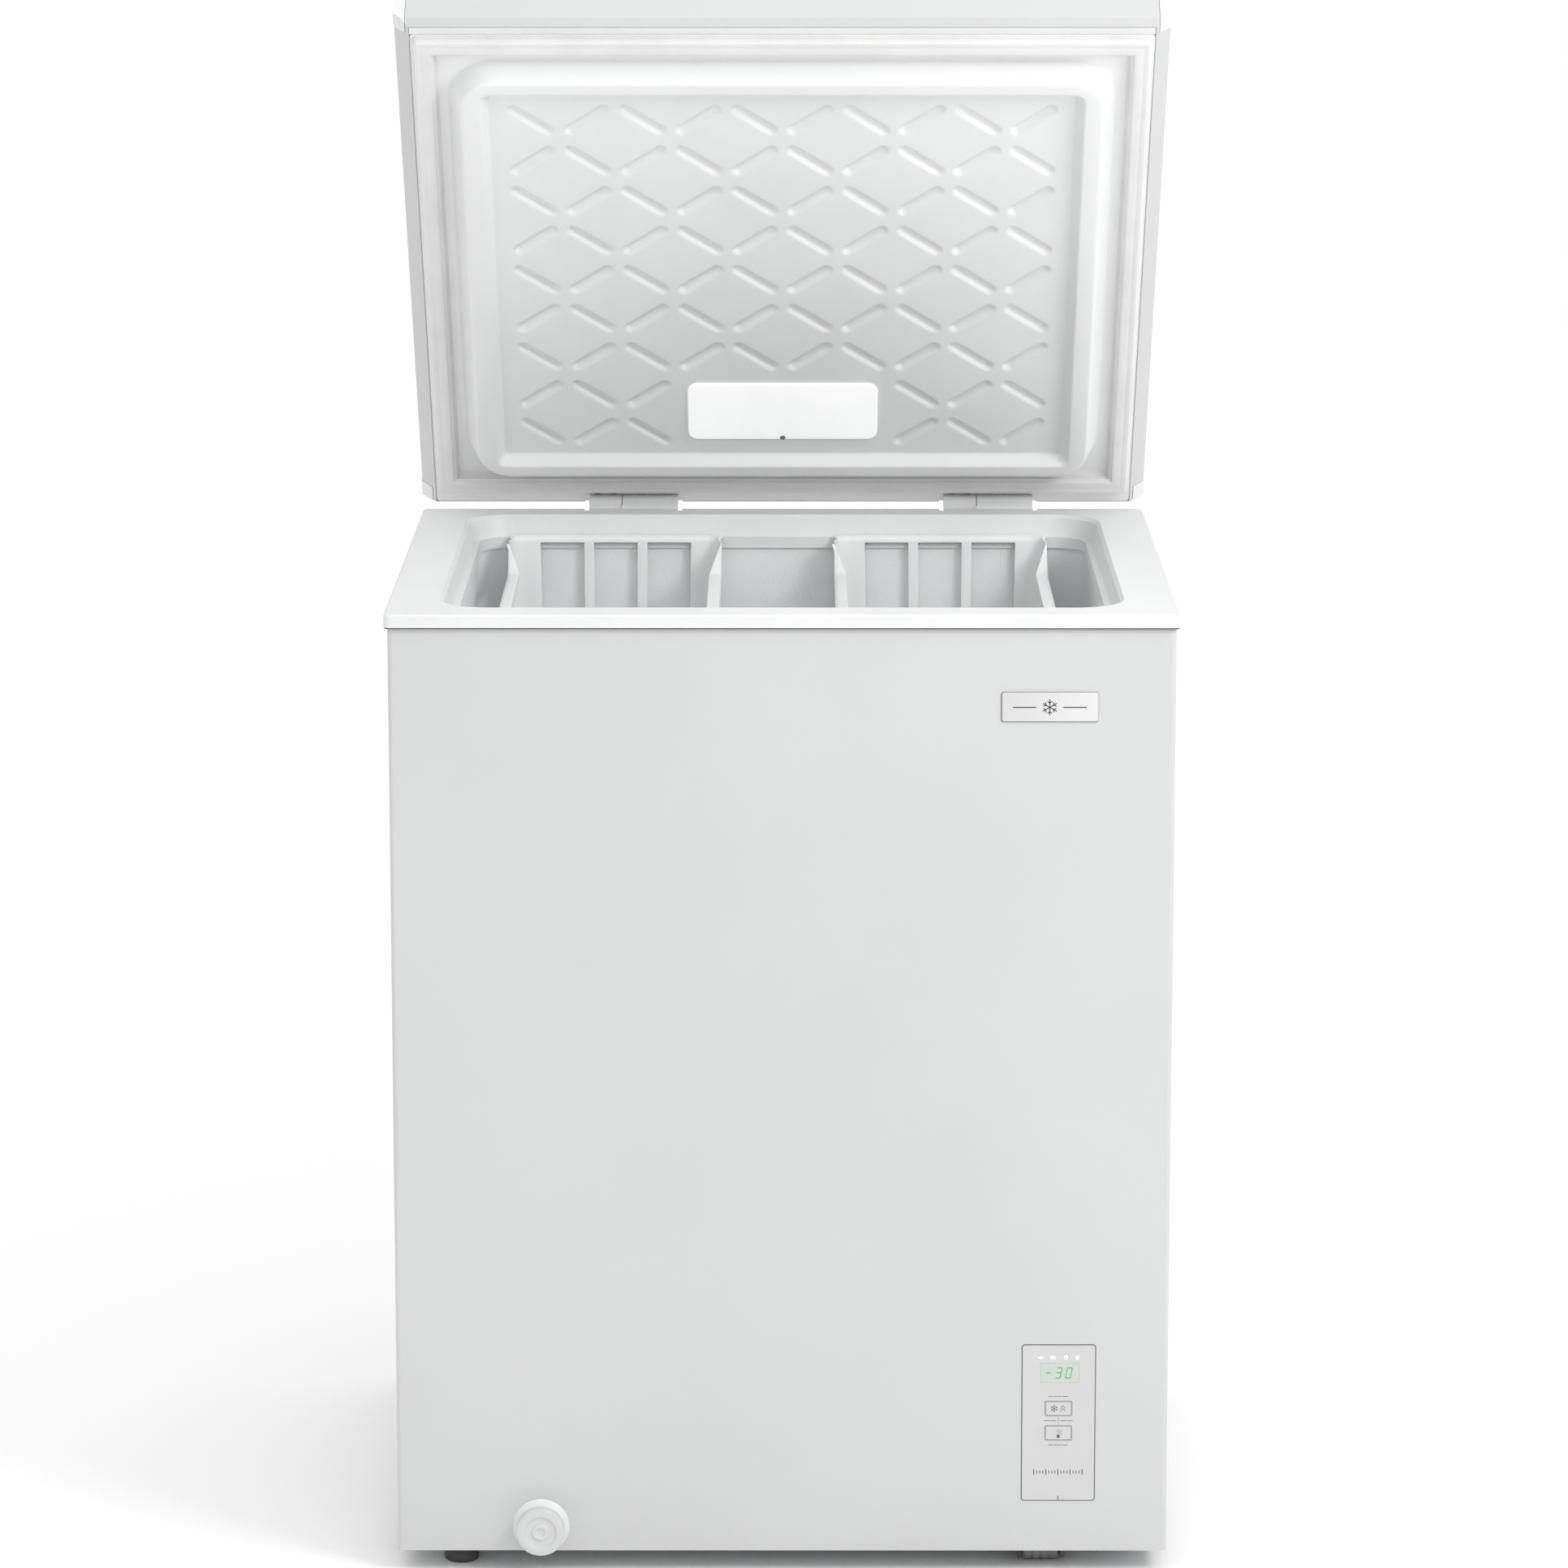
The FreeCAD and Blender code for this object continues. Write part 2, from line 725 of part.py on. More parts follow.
# Hinges
def hinge_start(index):
    return hinge_x[index] - hinge_length / 2


def make_hinge_lower():
    """The fixed leaf: a plate on the back, a flush flange, and the longer knuckle on a web."""
    leaves = []
    plate_y0 = shell_back
    plate_y1 = shell_back + hinge_plate
    for index in range(len(hinge_x)):
        x0 = hinge_start(index)
        x1 = x0 + hinge_length
        knuckle_x = x0 + hinge_lid_part + hinge_split
        plate = block(x0, x1, plate_y0, plate_y1, rim_top - hinge_plate_drop, rim_top)
        flange = block(x0, x1, rim_back - hinge_flange, plate_y1, shell_top, rim_top)
        web = section_along_x([
            (plate_y1 - 1.5, rim_top),
            (hinge_y - 2.6, hinge_z + hinge_radius - 0.6),
            (hinge_y, hinge_z - hinge_radius),
            (plate_y1 - 1, rim_top - 14),
        ], knuckle_x, x1)
        knuckle = rod(knuckle_x, hinge_y, hinge_z, (1, 0, 0), hinge_radius, x1 - knuckle_x)
        leaf = joined([plate, flange, web, knuckle])
        leaf = leaf.cut(rod(x0, hinge_y, hinge_z, (1, 0, 0), pin_radius, hinge_length))
        leaves.append(leaf)
    for x, y, z, direction in back_screws():
        leaves = [leaf.cut(rod(x, y + 1, z, direction, screw_radius, 10)) for leaf in leaves]
    return Part.makeCompound(leaves)


def lid_screws():
    """Screws that go up through each hinge arm into the lid, their heads just clear of the knuckle."""
    z = lid_bottom + hinge_pocket - hinge_arm
    knuckle_reach = math.sqrt(hinge_radius ** 2 - (z - screw_head - hinge_z) ** 2)
    y = hinge_y - knuckle_reach - screw_head_radius - 0.25
    return [(hinge_start(index) + hinge_lid_part * share, y, z, (0, 0, 1))
            for index in range(len(hinge_x)) for share in (0.25, 0.75)]


def make_hinge_upper():
    """The lid's leaf: the shorter knuckle and an arm let into a pocket of the lid."""
    leaves = []
    arm_top = lid_bottom + hinge_pocket
    for index in range(len(hinge_x)):
        x0 = hinge_start(index)
        x1 = x0 + hinge_lid_part
        knuckle = rod(x0, hinge_y, hinge_z, (1, 0, 0), hinge_radius, hinge_lid_part)
        arm = block(x0, x1, hinge_y - hinge_pocket_depth + 0.5, hinge_y + 3, arm_top - hinge_arm, arm_top)
        web = block(x0, x1, hinge_y - 4, hinge_y + 3, hinge_z + 3, arm_top)
        leaf = joined([knuckle, arm, web])
        leaf = leaf.cut(rod(x0 - 1, hinge_y, hinge_z, (1, 0, 0), pin_radius + pin_clear, hinge_lid_part + 2))
        leaves.append(leaf)
    for x, y, z, direction in lid_screws():
        leaves = [leaf.cut(rod(x, y, z - 1, direction, screw_radius, 10)) for leaf in leaves]
    return Part.makeCompound(leaves)


def make_hinge_pins():
    return Part.makeCompound([rod(hinge_start(index), hinge_y, hinge_z, (1, 0, 0), pin_radius, hinge_length)
                              for index in range(len(hinge_x))])


# Lid, drawn closed and then opened about the hinge
def lid_block(inset):
    """The lid's outer form drawn in by the inset, open at the bottom plane."""
    side = lid_half - inset
    y0, y1 = lid_front + inset, lid_back - inset
    top, low = lid_top - inset, lid_bottom - 1
    body = block(-side, side, y0, y1, lid_bottom, top)
    body = body.makeFillet(lid_edge - inset, [edge for edge in body.Edges if edge.BoundBox.ZMin > top - 0.01])
    run, rise = lid_side_slope
    wedge = Part.Face(Part.makePolygon([
        Vector(side + 1, y0 - 1, low),
        Vector(side + 1, y0 - 1, lid_bottom + rise * (run + 1) / run),
        Vector(side - run - run / rise, y0 - 1, low),
        Vector(side + 1, y0 - 1, low),
    ])).extrude(Vector(0, y1 - y0 + 2, 0))
    body = body.cut([wedge, wedge.mirror(Vector(0, 0, 0), Vector(1, 0, 0))])
    reach = lid_front_chamfer + 1
    nose = section_along_x([(y0 - 1, low), (y0 + reach, low), (y0 - 1, lid_bottom + reach)], -side, side)
    return body.cut(nose)


def cap_zones(gap):
    """The four corners of the lid that are plastic end caps."""
    zones = []
    for sign in (-1, 1):
        x0, x1 = sorted((sign * (lid_half - lid_cap_wide - gap), sign * (lid_half + 5)))
        zones.append(block(x0, x1, lid_front - 5, lid_front + lid_cap_front_depth + gap,
                           lid_bottom - 1, lid_bottom + lid_cap_front_height + gap))
        zones.append(block(x0, x1, lid_back - lid_cap_back_depth - gap, lid_back + 5,
                           lid_bottom - 1, lid_bottom + lid_cap_back_height + gap))
    return zones


def hinge_pockets():
    pockets = []
    for x in hinge_x:
        half = hinge_length / 2 + hinge_notch_side
        pockets.append(block(x - half, x + half, hinge_y - hinge_pocket_depth, lid_back + 1,
                             lid_bottom - 1, lid_bottom + hinge_pocket))
    return pockets


plinth_fall = lid_gap / plinth_drop
crest_z = lid_bottom - plinth_drop
recess_z = crest_z + recess_depth
crest_share = 1 - plinth_fall
crest_area = (
    opening[0] + plinth_gap + plinth_draft_side * crest_share,
    opening[1] - plinth_gap - plinth_draft_side * crest_share,
    opening[2] + plinth_gap + plinth_draft * crest_share,
    opening[3] - plinth_gap - plinth_draft * crest_share,
)
recess_mouth = (
    crest_area[0] + plinth_crest_wide_side,
    crest_area[1] - plinth_crest_wide_side,
    crest_area[2] + plinth_crest_wide,
    crest_area[3] - plinth_crest_wide,
)
recess_floor = grown(recess_mouth, -recess_draft)
lamp_back = crest_area[3] - lamp_from_plinth
lamp_area = (-lamp_width / 2, lamp_width / 2, lamp_back - lamp_length, lamp_back)
lamp_hole = grown(lamp_area, -2.5)


def plinth_base(z):
    """The plinth's outline at height z, following its drafted sides."""
    share = (z - crest_z) / plinth_drop
    x0, x1, y0, y1 = crest_area
    side, end = plinth_draft_side * share, plinth_draft * share
    return (x0 - side, x1 + side, y0 - end, y1 + end)


def plinth_solid(wall):
    top = lid_bottom + lid_liner_wall if wall else lid_bottom
    crest_corner = opening_corner - plinth_corner_step
    base_corner = crest_corner + plinth_corner_step * (top - crest_z) / plinth_drop
    return taper(grown(plinth_base(top), -wall), base_corner - wall, top,
                 grown(crest_area, -wall), crest_corner - wall, crest_z + wall)


def recess_solid(wall):
    return taper(grown(recess_mouth, wall), recess_corner + wall, crest_z,
                 grown(recess_floor, wall), recess_corner + wall, recess_z + wall)


gasket_area = (-rim_half + gasket_in_side, rim_half - gasket_in_side,
               rim_front + gasket_in_front, hinge_y - hinge_pocket_depth - gasket_clear_pocket)
hem_half = lid_half - lid_side_slope[0] - lid_sheet - trim_clear
trim_area = (-hem_half, hem_half, lid_front + lid_front_chamfer + lid_sheet + trim_clear,
             gasket_area[2] - trim_clear)
flange_area = (-hem_half, hem_half, trim_area[3] + trim_clear / 2, lid_back - lid_sheet - trim_clear)


def make_lid_skin():
    return lid_block(0).cut([lid_block(lid_sheet)] + cap_zones(lid_cap_gap) + hinge_pockets())


def make_lid_caps():
    caps = lid_block(-lid_cap_proud)
    return Part.makeCompound([caps.common(zone) for zone in cap_zones(0)])


def make_lid_front_trim():
    x0, x1, y0, y1 = trim_area
    strip = block(x0, x1, y0, y1, lid_bottom, lid_bottom + lid_liner_wall)
    return strip.cut(cap_zones(lid_cap_gap))


def make_lid_liner():
    x0, x1, y0, y1 = flange_area
    flange = block(x0, x1, y0, y1, lid_bottom, lid_bottom + lid_liner_wall)
    liner = joined([flange, plinth_solid(0)])
    liner = liner.cut(plinth_solid(lid_liner_wall).cut(recess_solid(lid_liner_wall)))
    liner = liner.cut(recess_solid(0))
    liner = liner.cut(prism(lamp_hole, lamp_corner, recess_z - 1, recess_z + lid_liner_wall + 1))
    return liner.cut(cap_zones(lid_cap_gap) + hinge_pockets())


def make_lid_foam():
    floor = lid_bottom + lid_liner_wall
    foam = lid_block(lid_sheet).cut(block(-lid_half, lid_half, lid_front, lid_back, lid_bottom - 1, floor))
    foam = joined([foam, plinth_solid(lid_liner_wall).cut(recess_solid(lid_liner_wall))])
    foam = foam.cut(cap_zones(lid_cap_gap) + hinge_pockets())
    foam = foam.cut(prism(lamp_hole, lamp_corner, recess_z, recess_z + lamp_well))
    for x, y, z, direction in lid_screws():
        foam = foam.cut(shank(x, y, z, direction, 0))
    return foam


def make_gasket():
    z0, z1 = rim_top + gasket_squeeze_gap, lid_bottom
    inner = grown(gasket_area, -gasket_wide)
    ring = prism(gasket_area, gasket_corner, z0, z1).cut(prism(inner, gasket_corner, z0 - 1, z1 + 1))
    return ring.cut(magnet_bars(magnet_clear))


def magnet_bars(clear):
    """Four magnet strips inside the seal, one along each side."""
    x0, x1, y0, y1 = grown(gasket_area, -gasket_wide / 2)
    half = magnet_wide / 2 + clear
    z0 = rim_top + gasket_squeeze_gap + 1.6 - clear
    z1 = z0 + magnet_thick + 2 * clear
    end = gasket_wide
    return [
        block(x0 + end - clear, x1 - end + clear, y0 - half, y0 + half, z0, z1),
        block(x0 + end - clear, x1 - end + clear, y1 - half, y1 + half, z0, z1),
        block(x0 - half, x0 + half, y0 + end - clear, y1 - end + clear, z0, z1),
        block(x1 - half, x1 + half, y0 + end - clear, y1 - end + clear, z0, z1),
    ]


def make_lamp_housing():
    outer = prism(lamp_hole, lamp_corner, recess_z, recess_z + lamp_well)
    inner = prism(grown(lamp_hole, -lamp_wall), lamp_corner - lamp_wall, recess_z - 1,
                  recess_z + lamp_well - lamp_wall)
    return outer.cut(inner)


def make_lamp_cover():
    cover = prism(lamp_area, lamp_corner, recess_z - lamp_proud, recess_z)
    return cover.cut(rod(0, lamp_back, recess_z - 5, (0, 0, 1), lamp_notch_radius, 10))


def make_lamp_board():
    """A board in the lamp's well with a row of light chips under it."""
    x0, x1, y0, y1 = grown(lamp_hole, -lamp_wall - 3)
    top = recess_z + lamp_well - lamp_wall
    board = block(x0, x1, y0, y1, top - 1.6, top)
    chips = []
    for index in range(6):
        x = x0 + (x1 - x0) * (index + 0.5) / 6
        chips.append(block(x - 2, x + 2, (y0 + y1) / 2 - 2, (y0 + y1) / 2 + 2, top - 2.6, top - 1.6))
    return joined([board] + chips)


def make_tilt_switch():
    x0, x1, y0, y1 = grown(lamp_hole, -lamp_wall - 3)
    top = recess_z + lamp_well - lamp_wall - 1.6
    return rod(x0 + 6, y0 + 8, top - 3, (1, 0, 0), 3, 14)


# Baskets
basket_top = ledge_z + basket_lip
basket_bottom = basket_top - basket_height
basket_y = (skirt_area[2] + basket_skirt_gap, skirt_area[3] - basket_skirt_gap)
basket_left_x = skirt_area[0] + basket_left_inset
basket_right_x = skirt_area[1] - basket_right_inset


def slot_through(x, z0, z1, width):
    """A round-cornered opening through both end walls of a basket."""
    size = (width, z1 - z0)
    return front_plate(x, (z0 + z1) / 2, size, basket_y[0] - 20, basket_y[1] + 20, basket_slot_corner)


def make_basket(x_range):
    x0, x1 = x_range
    y0, y1 = basket_y
    area = (x0, x1, y0, y1)
    foot = grown(area, -basket_draft)
    rail_z = basket_top - basket_side_drop
    outer = taper(foot, basket_corner, basket_bottom, area, basket_corner, basket_top)
    inner = taper(grown(foot, -basket_wall), basket_corner - basket_wall, basket_bottom + basket_wall,
                  grown(area, -basket_wall), basket_corner - basket_wall, basket_top + 0.01)
    middle = (x0 + x1) / 2
    tools = [inner, block(x0 - 1, x1 + 1, y0 + basket_hook, y1 - basket_hook, rail_z, basket_top + 1)]
    pitch = basket_slot + basket_bar
    for index in range(basket_slots):
        x = middle + (index - (basket_slots - 1) / 2) * pitch
        tools.append(slot_through(x, basket_bottom + basket_slot_bottom, basket_top - basket_slot_top,
                                  basket_slot))
    side_y0, side_y1 = y0 + basket_hook + 10, y1 - basket_hook - 10
    side_pitch = (side_y1 - side_y0) / basket_side_slots
    for index in range(basket_side_slots):
        start = side_y0 + index * side_pitch + basket_side_bar / 2
        tools.append(block(x0 - 1, x1 + 1, start, start + side_pitch - basket_side_bar,
                           basket_bottom + basket_slot_bottom, rail_z - basket_slot_top))
    floor_pitch = (x1 - x0 - 40) / basket_floor_slots
    for index in range(basket_floor_slots):
        start = x0 + 20 + index * floor_pitch + 5
        tools.append(block(start, start + floor_pitch - 10, y0 + 30, (y0 + y1) / 2 - 8, 0, basket_bottom + 8))
        tools.append(block(start, start + floor_pitch - 10, (y0 + y1) / 2 + 8, y1 - 30, 0, basket_bottom + 8))
    basket = outer.cut(tools)
    pieces = [basket]
    for side in (x0, x1 - basket_rail):
        pieces.append(block(side, side + basket_rail, y0 + basket_wall, y1 - basket_wall,
                            rail_z - basket_lip, rail_z))
        for hook_y in (y0 + basket_wall, y1 - basket_wall - basket_hook):
            pieces.append(block(side, side + basket_rail, hook_y, hook_y + basket_hook, rail_z - 6, basket_top))
    clear = slope_area[2] + basket_lip_gap
    pieces.append(block(x0 + basket_corner, x1 - basket_corner, clear, y0 + 1, ledge_z, basket_top))
    clear = slope_area[3] - basket_lip_gap
    pieces.append(block(x0 + basket_corner, x1 - basket_corner, y1 - 1, clear, ledge_z, basket_top))
    whole = joined(pieces)
    keep = prism(area, basket_corner, basket_bottom, basket_top)
    lips = block(x0 + basket_corner, x1 - basket_corner, y0 - 20, y1 + 20, basket_bottom, basket_top)
    return whole.common(joined([keep, lips]))


# Control panel
panel_face = shell_front - panel_proud
board_front = shell_front + board_behind


def key_centre(index):
    return panel_x, panel_bottom + key_heights[index]


def display_place():
    return panel_x + display_centre[0], panel_bottom + display_centre[1]


def make_control_bezel():
    face = front_plate(panel_x, panel_z, (panel_width, panel_height), panel_face,
                       panel_face + panel_plate, panel_corner)
    rear = (panel_hole[0] + 2 * panel_flange, panel_hole[1] + 2 * panel_flange)
    flange = front_plate(panel_x, panel_z, rear, shell_front + sheet, panel_face + panel_plate, panel_corner)
    bezel = joined([face, flange])
    x, z = display_place()
    bezel = bezel.cut(front_plate(x, z, display_size, panel_face - 1, panel_face + display_depth, 1.0))
    opening_size = (display_size[0] - 3, display_size[1] - 3)
    bezel = bezel.cut(front_plate(x, z, opening_size, panel_face, panel_face + panel_plate + 1, 0.8))
    for index in range(len(key_heights)):
        x, z = key_centre(index)
        size = (key_size[0] + 2 * key_gap, key_size[1] + 2 * key_gap)
        bezel = bezel.cut(front_plate(x, z, size, panel_face - 1, panel_face + panel_plate + 1, 1.4))
    notch = block(panel_x - 0.5, panel_x + 0.5, panel_face - 1, panel_face + 0.8,
                  panel_bottom - 1, panel_bottom + 3)
    bezel = bezel.cut(notch)
    posts = [rod(x, panel_face + panel_plate, z, (0, 1, 0), 2.5, board_front - panel_face - panel_plate)
             for x, z in board_corners()]
    return joined([bezel] + posts)


def board_corners():
    half_x, half_z = board_size[0] / 2 - 4, board_size[1] / 2 - 4
    return [(panel_x + sx * half_x, panel_z + sz * half_z) for sx in (-1, 1) for sz in (-1, 1)]


def make_display_window():
    x, z = display_place()
    size = (display_size[0] - 0.2, display_size[1] - 0.2)
    return front_plate(x, z, size, panel_face, panel_face + display_depth, 0.9)


def make_key(index):
    """A key cap with a hidden rim that keeps it in, and a stub over its switch."""
    x, z = key_centre(index)
    cap = front_plate(x, z, key_size, panel_face, panel_face + key_thick + 0.6, 1.1)
    rim_y = panel_face + panel_plate + 0.1
    rim = front_plate(x, z, (key_size[0] + 3, key_size[1] + 2), rim_y, rim_y + 0.9, 1.1)
    stub = rod(x, rim_y, z, (0, 1, 0), 2, 2.4)
    return joined([cap, rim, stub])


def make_control_board():
    board = front_plate(panel_x, panel_z, board_size, board_front, board_front + board_thick, 2.0)
    pieces = [board]
    x, z = display_place()
    pieces.append(front_plate(x, z, (display_size[0] - 5, display_size[1] - 5), panel_face + display_depth + 0.4,
                              board_front, 0.6))
    for index in range(len(key_heights)):
        x, z = key_centre(index)
        switch_y = panel_face + panel_plate + 2.5 + key_travel + 0.4
        pieces.append(front_plate(x, z, (6, 6), switch_y, board_front, 0.5))
    return joined(pieces)


def make_name_plate():
    return front_plate(plate_x, plate_z, plate_size, shell_front - plate_thick, shell_front, plate_corner)


# Drain
def make_drain_boss():
    cone = Part.makeCone(drain_boss_radius, drain_boss_radius - 5, drain_boss_depth,
                         Vector(drain_x, shell_front, drain_z), Vector(0, -1, 0))
    low = block(drain_x - 40, drain_x + 40, shell_front - 20, shell_front + 1, 0, floor_gap + 0.5)
    bore = rod(drain_x, shell_front - 20, drain_z, (0, 1, 0), drain_tube_radius + drain_tube_clear, 30)
    return cone.cut([low, bore])


def make_drain_pipe():
    return drain_path(drain_pipe_radius).cut(drain_path(drain_tube_radius + drain_tube_clear))


def make_drain_tube():
    y0 = shell_front - drain_reach + 4
    tube = rod(drain_x, y0, drain_z, (0, 1, 0), drain_tube_radius, drain_tube_length)
    return tube.cut(rod(drain_x, y0 - 1, drain_z, (0, 1, 0), drain_tube_bore, drain_tube_length + 2))


def make_drain_cap():
    """A round knob with a stepped face that turns on the end of the drain tube."""
    face = shell_front - drain_reach
    knob = rod(drain_x, face, drain_z, (0, 1, 0), drain_cap_radius, drain_cap_depth)
    knob = knob.makeFillet(1.2, [edge for edge in knob.Edges if edge.Closed and edge.CenterOfMass.y < face + 1])
    outer, inner = drain_cap_ring
    ring = rod(drain_x, face - 1, drain_z, (0, 1, 0), outer, 1.6)
    step = ring.cut(rod(drain_x, face - 2, drain_z, (0, 1, 0), inner, 5))
    dimple = rod(drain_x, face - 1, drain_z, (0, 1, 0), inner * 0.45, 1.8)
    bore = rod(drain_x, face + 4, drain_z, (0, 1, 0), drain_tube_radius + pin_clear, drain_reach)
    return knob.cut([step, dimple, bore])


# Back of the cabinet
def make_grille():
    width, height = grille_size
    x0, x1 = grille_x - width / 2, grille_x + width / 2
    z0, z1 = grille_bottom, grille_bottom + height
    plate = block(x0, x1, shell_back, shell_back + grille_plate, z0, z1)
    face = shell_back + grille_plate - 0.01
    plate = plate.makeFillet(grille_plate / 2, [edge for edge in plate.Edges if edge.BoundBox.YMin > face])
    pitch = (height - 2 * grille_frame + grille_bar) / grille_slots
    slots = [block(x0 + grille_frame, x1 - grille_frame, shell_back - 1, shell_back + grille_plate + 1,
                   z0 + grille_frame + index * pitch, z0 + grille_frame + (index + 1) * pitch - grille_bar)
             for index in range(grille_slots)]
    return plate.cut(slots)


def make_power_gland():
    """The inlet in the back panel that the mains lead goes through."""
    axis = (0, 1, 0)
    flange = rod(gland_x, shell_back, gland_z, axis, gland_radius + 3, 3)
    barrel = rod(gland_x, shell_back - 8, gland_z, axis, gland_radius, 14)
    nut = rod(gland_x, shell_back - 6, gland_z, axis, gland_radius + 2.5, 4)
    return joined([flange, barrel, nut]).cut(rod(gland_x, shell_back - 10, gland_z, axis, gland_bore, 20))


save("outer_shell", make_outer_shell())
save("back_panel", make_back_panel())
save("base_pan", make_base_pan())
save("compartment_panel", make_compartment_panel())
save("cabinet_foam", make_foam())
save("inner_liner", make_liner())
save("rim_collar", make_rim_collar())
save("evaporator_tube", make_evaporator())
save("condenser_tube", make_condenser())
save("compressor", make_compressor())
save("compressor_grommets", make_grommets())
save("compressor_bolts", make_compressor_bolts())
save("start_relay", make_start_relay())
save("filter_dryer", make_filter_dryer())
save("refrigerant_lines", make_refrigerant_lines())
save("compressor_tray", make_tray())
save("foot_sockets", make_feet_sockets())
save("foot_front", make_foot(foot_places[0]))
save("foot_rear", make_foot(foot_places[1]))
save("roller_brackets", make_roller_brackets())
save("roller_axles", make_axles())
save("roller_front", make_roller(roller_places[0]))
save("roller_rear", make_roller(roller_places[1]))
save("hinge_lower_leaves", make_hinge_lower())
save("hinge_pins", make_hinge_pins())
save("hinge_back_screws", Part.makeCompound([screw(*place) for place in back_screws()]))
save("control_bezel", make_control_bezel())
save("display_window", make_display_window())
save("control_board", make_control_board())
save("key_boost", make_key(0))
save("key_temperature", make_key(1))
save("name_plate", make_name_plate())
save("drain_boss", make_drain_boss())
save("drain_pipe", make_drain_pipe())
save("drain_tube", make_drain_tube())
save("drain_cap", make_drain_cap())
save("vent_grille", make_grille())
save("power_gland", make_power_gland())
save("basket_left", make_basket((basket_left_x, basket_left_x + basket_width)))
save("basket_right", make_basket((basket_right_x - basket_width, basket_right_x)))
save_lid("lid_skin", make_lid_skin())
save_lid("lid_end_caps", make_lid_caps())
save_lid("lid_front_trim", make_lid_front_trim())
save_lid("lid_foam", make_lid_foam())
save_lid("lid_liner", make_lid_liner())
save_lid("lid_gasket", make_gasket())
save_lid("gasket_magnets", Part.makeCompound(magnet_bars(0)))
save_lid("lamp_housing", make_lamp_housing())
save_lid("lamp_board", make_lamp_board())
save_lid("tilt_switch", make_tilt_switch())
save_lid("lamp_cover", make_lamp_cover())
save_lid("hinge_upper_leaves", make_hinge_upper())
save_lid("hinge_lid_screws", Part.makeCompound([screw(*place) for place in lid_screws()]))
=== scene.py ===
"""Looks of the chest freezer: its moulded, printed and painted pieces, its finishes and its studio.

Metres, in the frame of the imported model: +Z up, the front faces -Y, +X is right seen from the front.
The lid's pieces are worked out closed and then turned open about the hinge, as they stand at rest.
"""
import json
import math

import bmesh
import bpy
import numpy as np
from bpy.props import FloatProperty, FloatVectorProperty, IntProperty, PointerProperty
from mathutils import Euler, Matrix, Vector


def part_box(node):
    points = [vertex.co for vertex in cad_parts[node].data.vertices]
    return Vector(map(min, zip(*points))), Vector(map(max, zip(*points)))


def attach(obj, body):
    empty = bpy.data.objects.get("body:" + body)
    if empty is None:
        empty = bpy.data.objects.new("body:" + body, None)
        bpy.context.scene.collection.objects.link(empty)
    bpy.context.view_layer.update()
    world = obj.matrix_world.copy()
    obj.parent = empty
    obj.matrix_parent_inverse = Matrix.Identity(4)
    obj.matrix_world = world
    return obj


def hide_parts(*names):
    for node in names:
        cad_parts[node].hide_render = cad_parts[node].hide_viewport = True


bl_info = {
    "name": "Chest freezer looks",
    "version": (1, 0, 0),
    "blender": (4, 5, 0),
    "location": "3D View > Sidebar > Freezer",
    "description": "Makes the moulded and printed pieces of a chest freezer and gives every piece its finish",
    "category": "Object",
}

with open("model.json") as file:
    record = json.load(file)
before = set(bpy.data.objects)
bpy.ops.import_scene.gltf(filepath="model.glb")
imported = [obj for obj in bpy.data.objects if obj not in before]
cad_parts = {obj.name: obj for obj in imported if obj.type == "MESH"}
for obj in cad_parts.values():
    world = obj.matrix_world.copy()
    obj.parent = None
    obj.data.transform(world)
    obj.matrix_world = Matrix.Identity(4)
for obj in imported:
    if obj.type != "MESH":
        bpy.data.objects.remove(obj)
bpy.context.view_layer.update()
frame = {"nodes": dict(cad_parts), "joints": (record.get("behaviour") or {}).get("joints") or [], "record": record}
MM = 0.001
HINGE = next(joint for joint in frame["joints"] if joint["name"] == "lid_hinge")
HINGE_Y, HINGE_Z = HINGE["pos_m"][1], HINGE["pos_m"][2]
OPEN_ANGLE = -math.radians(HINGE["range_deg"][0])
SLOT_OF = {part["node"]: part["material_slot"] for part in frame["record"]["subparts"]}
FINISHES = {}
INK = 0.06 * MM


# Places

def turned_about_hinge(points, angle):
    """Points turned about the hinge's line by an angle, positive as the lid opens."""
    points = np.asarray(points, float)
    y, z = points[..., 1] - HINGE_Y, points[..., 2] - HINGE_Z
    turned = np.empty_like(points)
    turned[..., 0] = points[..., 0]
    turned[..., 1] = HINGE_Y + y * math.cos(angle) + z * math.sin(angle)
    turned[..., 2] = HINGE_Z - y * math.sin(angle) + z * math.cos(angle)
    return turned


def node_points(name):
    """A CAD node's points as it stands at rest."""
    mesh = frame["nodes"][name].data
    flat = np.empty(len(mesh.vertices) * 3)
    mesh.vertices.foreach_get("co", flat)
    return flat.reshape(-1, 3)


def closed_box(name):
    """Lowest and highest corner of a lid node with the lid shut."""
    points = turned_about_hinge(node_points(name), -OPEN_ANGLE)
    return points.min(0), points.max(0)


def box(name):
    """Lowest and highest corner of a CAD node."""
    low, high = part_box(name)
    return np.array(low), np.array(high)


def front_face(name):
    """Lowest and highest corner of a node's foremost face."""
    points = node_points(name)
    face = points[points[:, 1] < points[:, 1].min() + 0.2 * MM]
    return face.min(0), face.max(0)


# Surfaces

def quads(rows, columns, closed=False):
    """Faces between neighbouring points of a grid. Closed joins its last column to its first."""
    row = np.arange(rows - 1)[:, None]
    column = np.arange(columns if closed else columns - 1)[None, :]
    beside = (column + 1) % columns
    corners = (row * columns + column, row * columns + beside,
               (row + 1) * columns + beside, (row + 1) * columns + column)
    return np.stack(corners, -1).reshape(-1, 4)


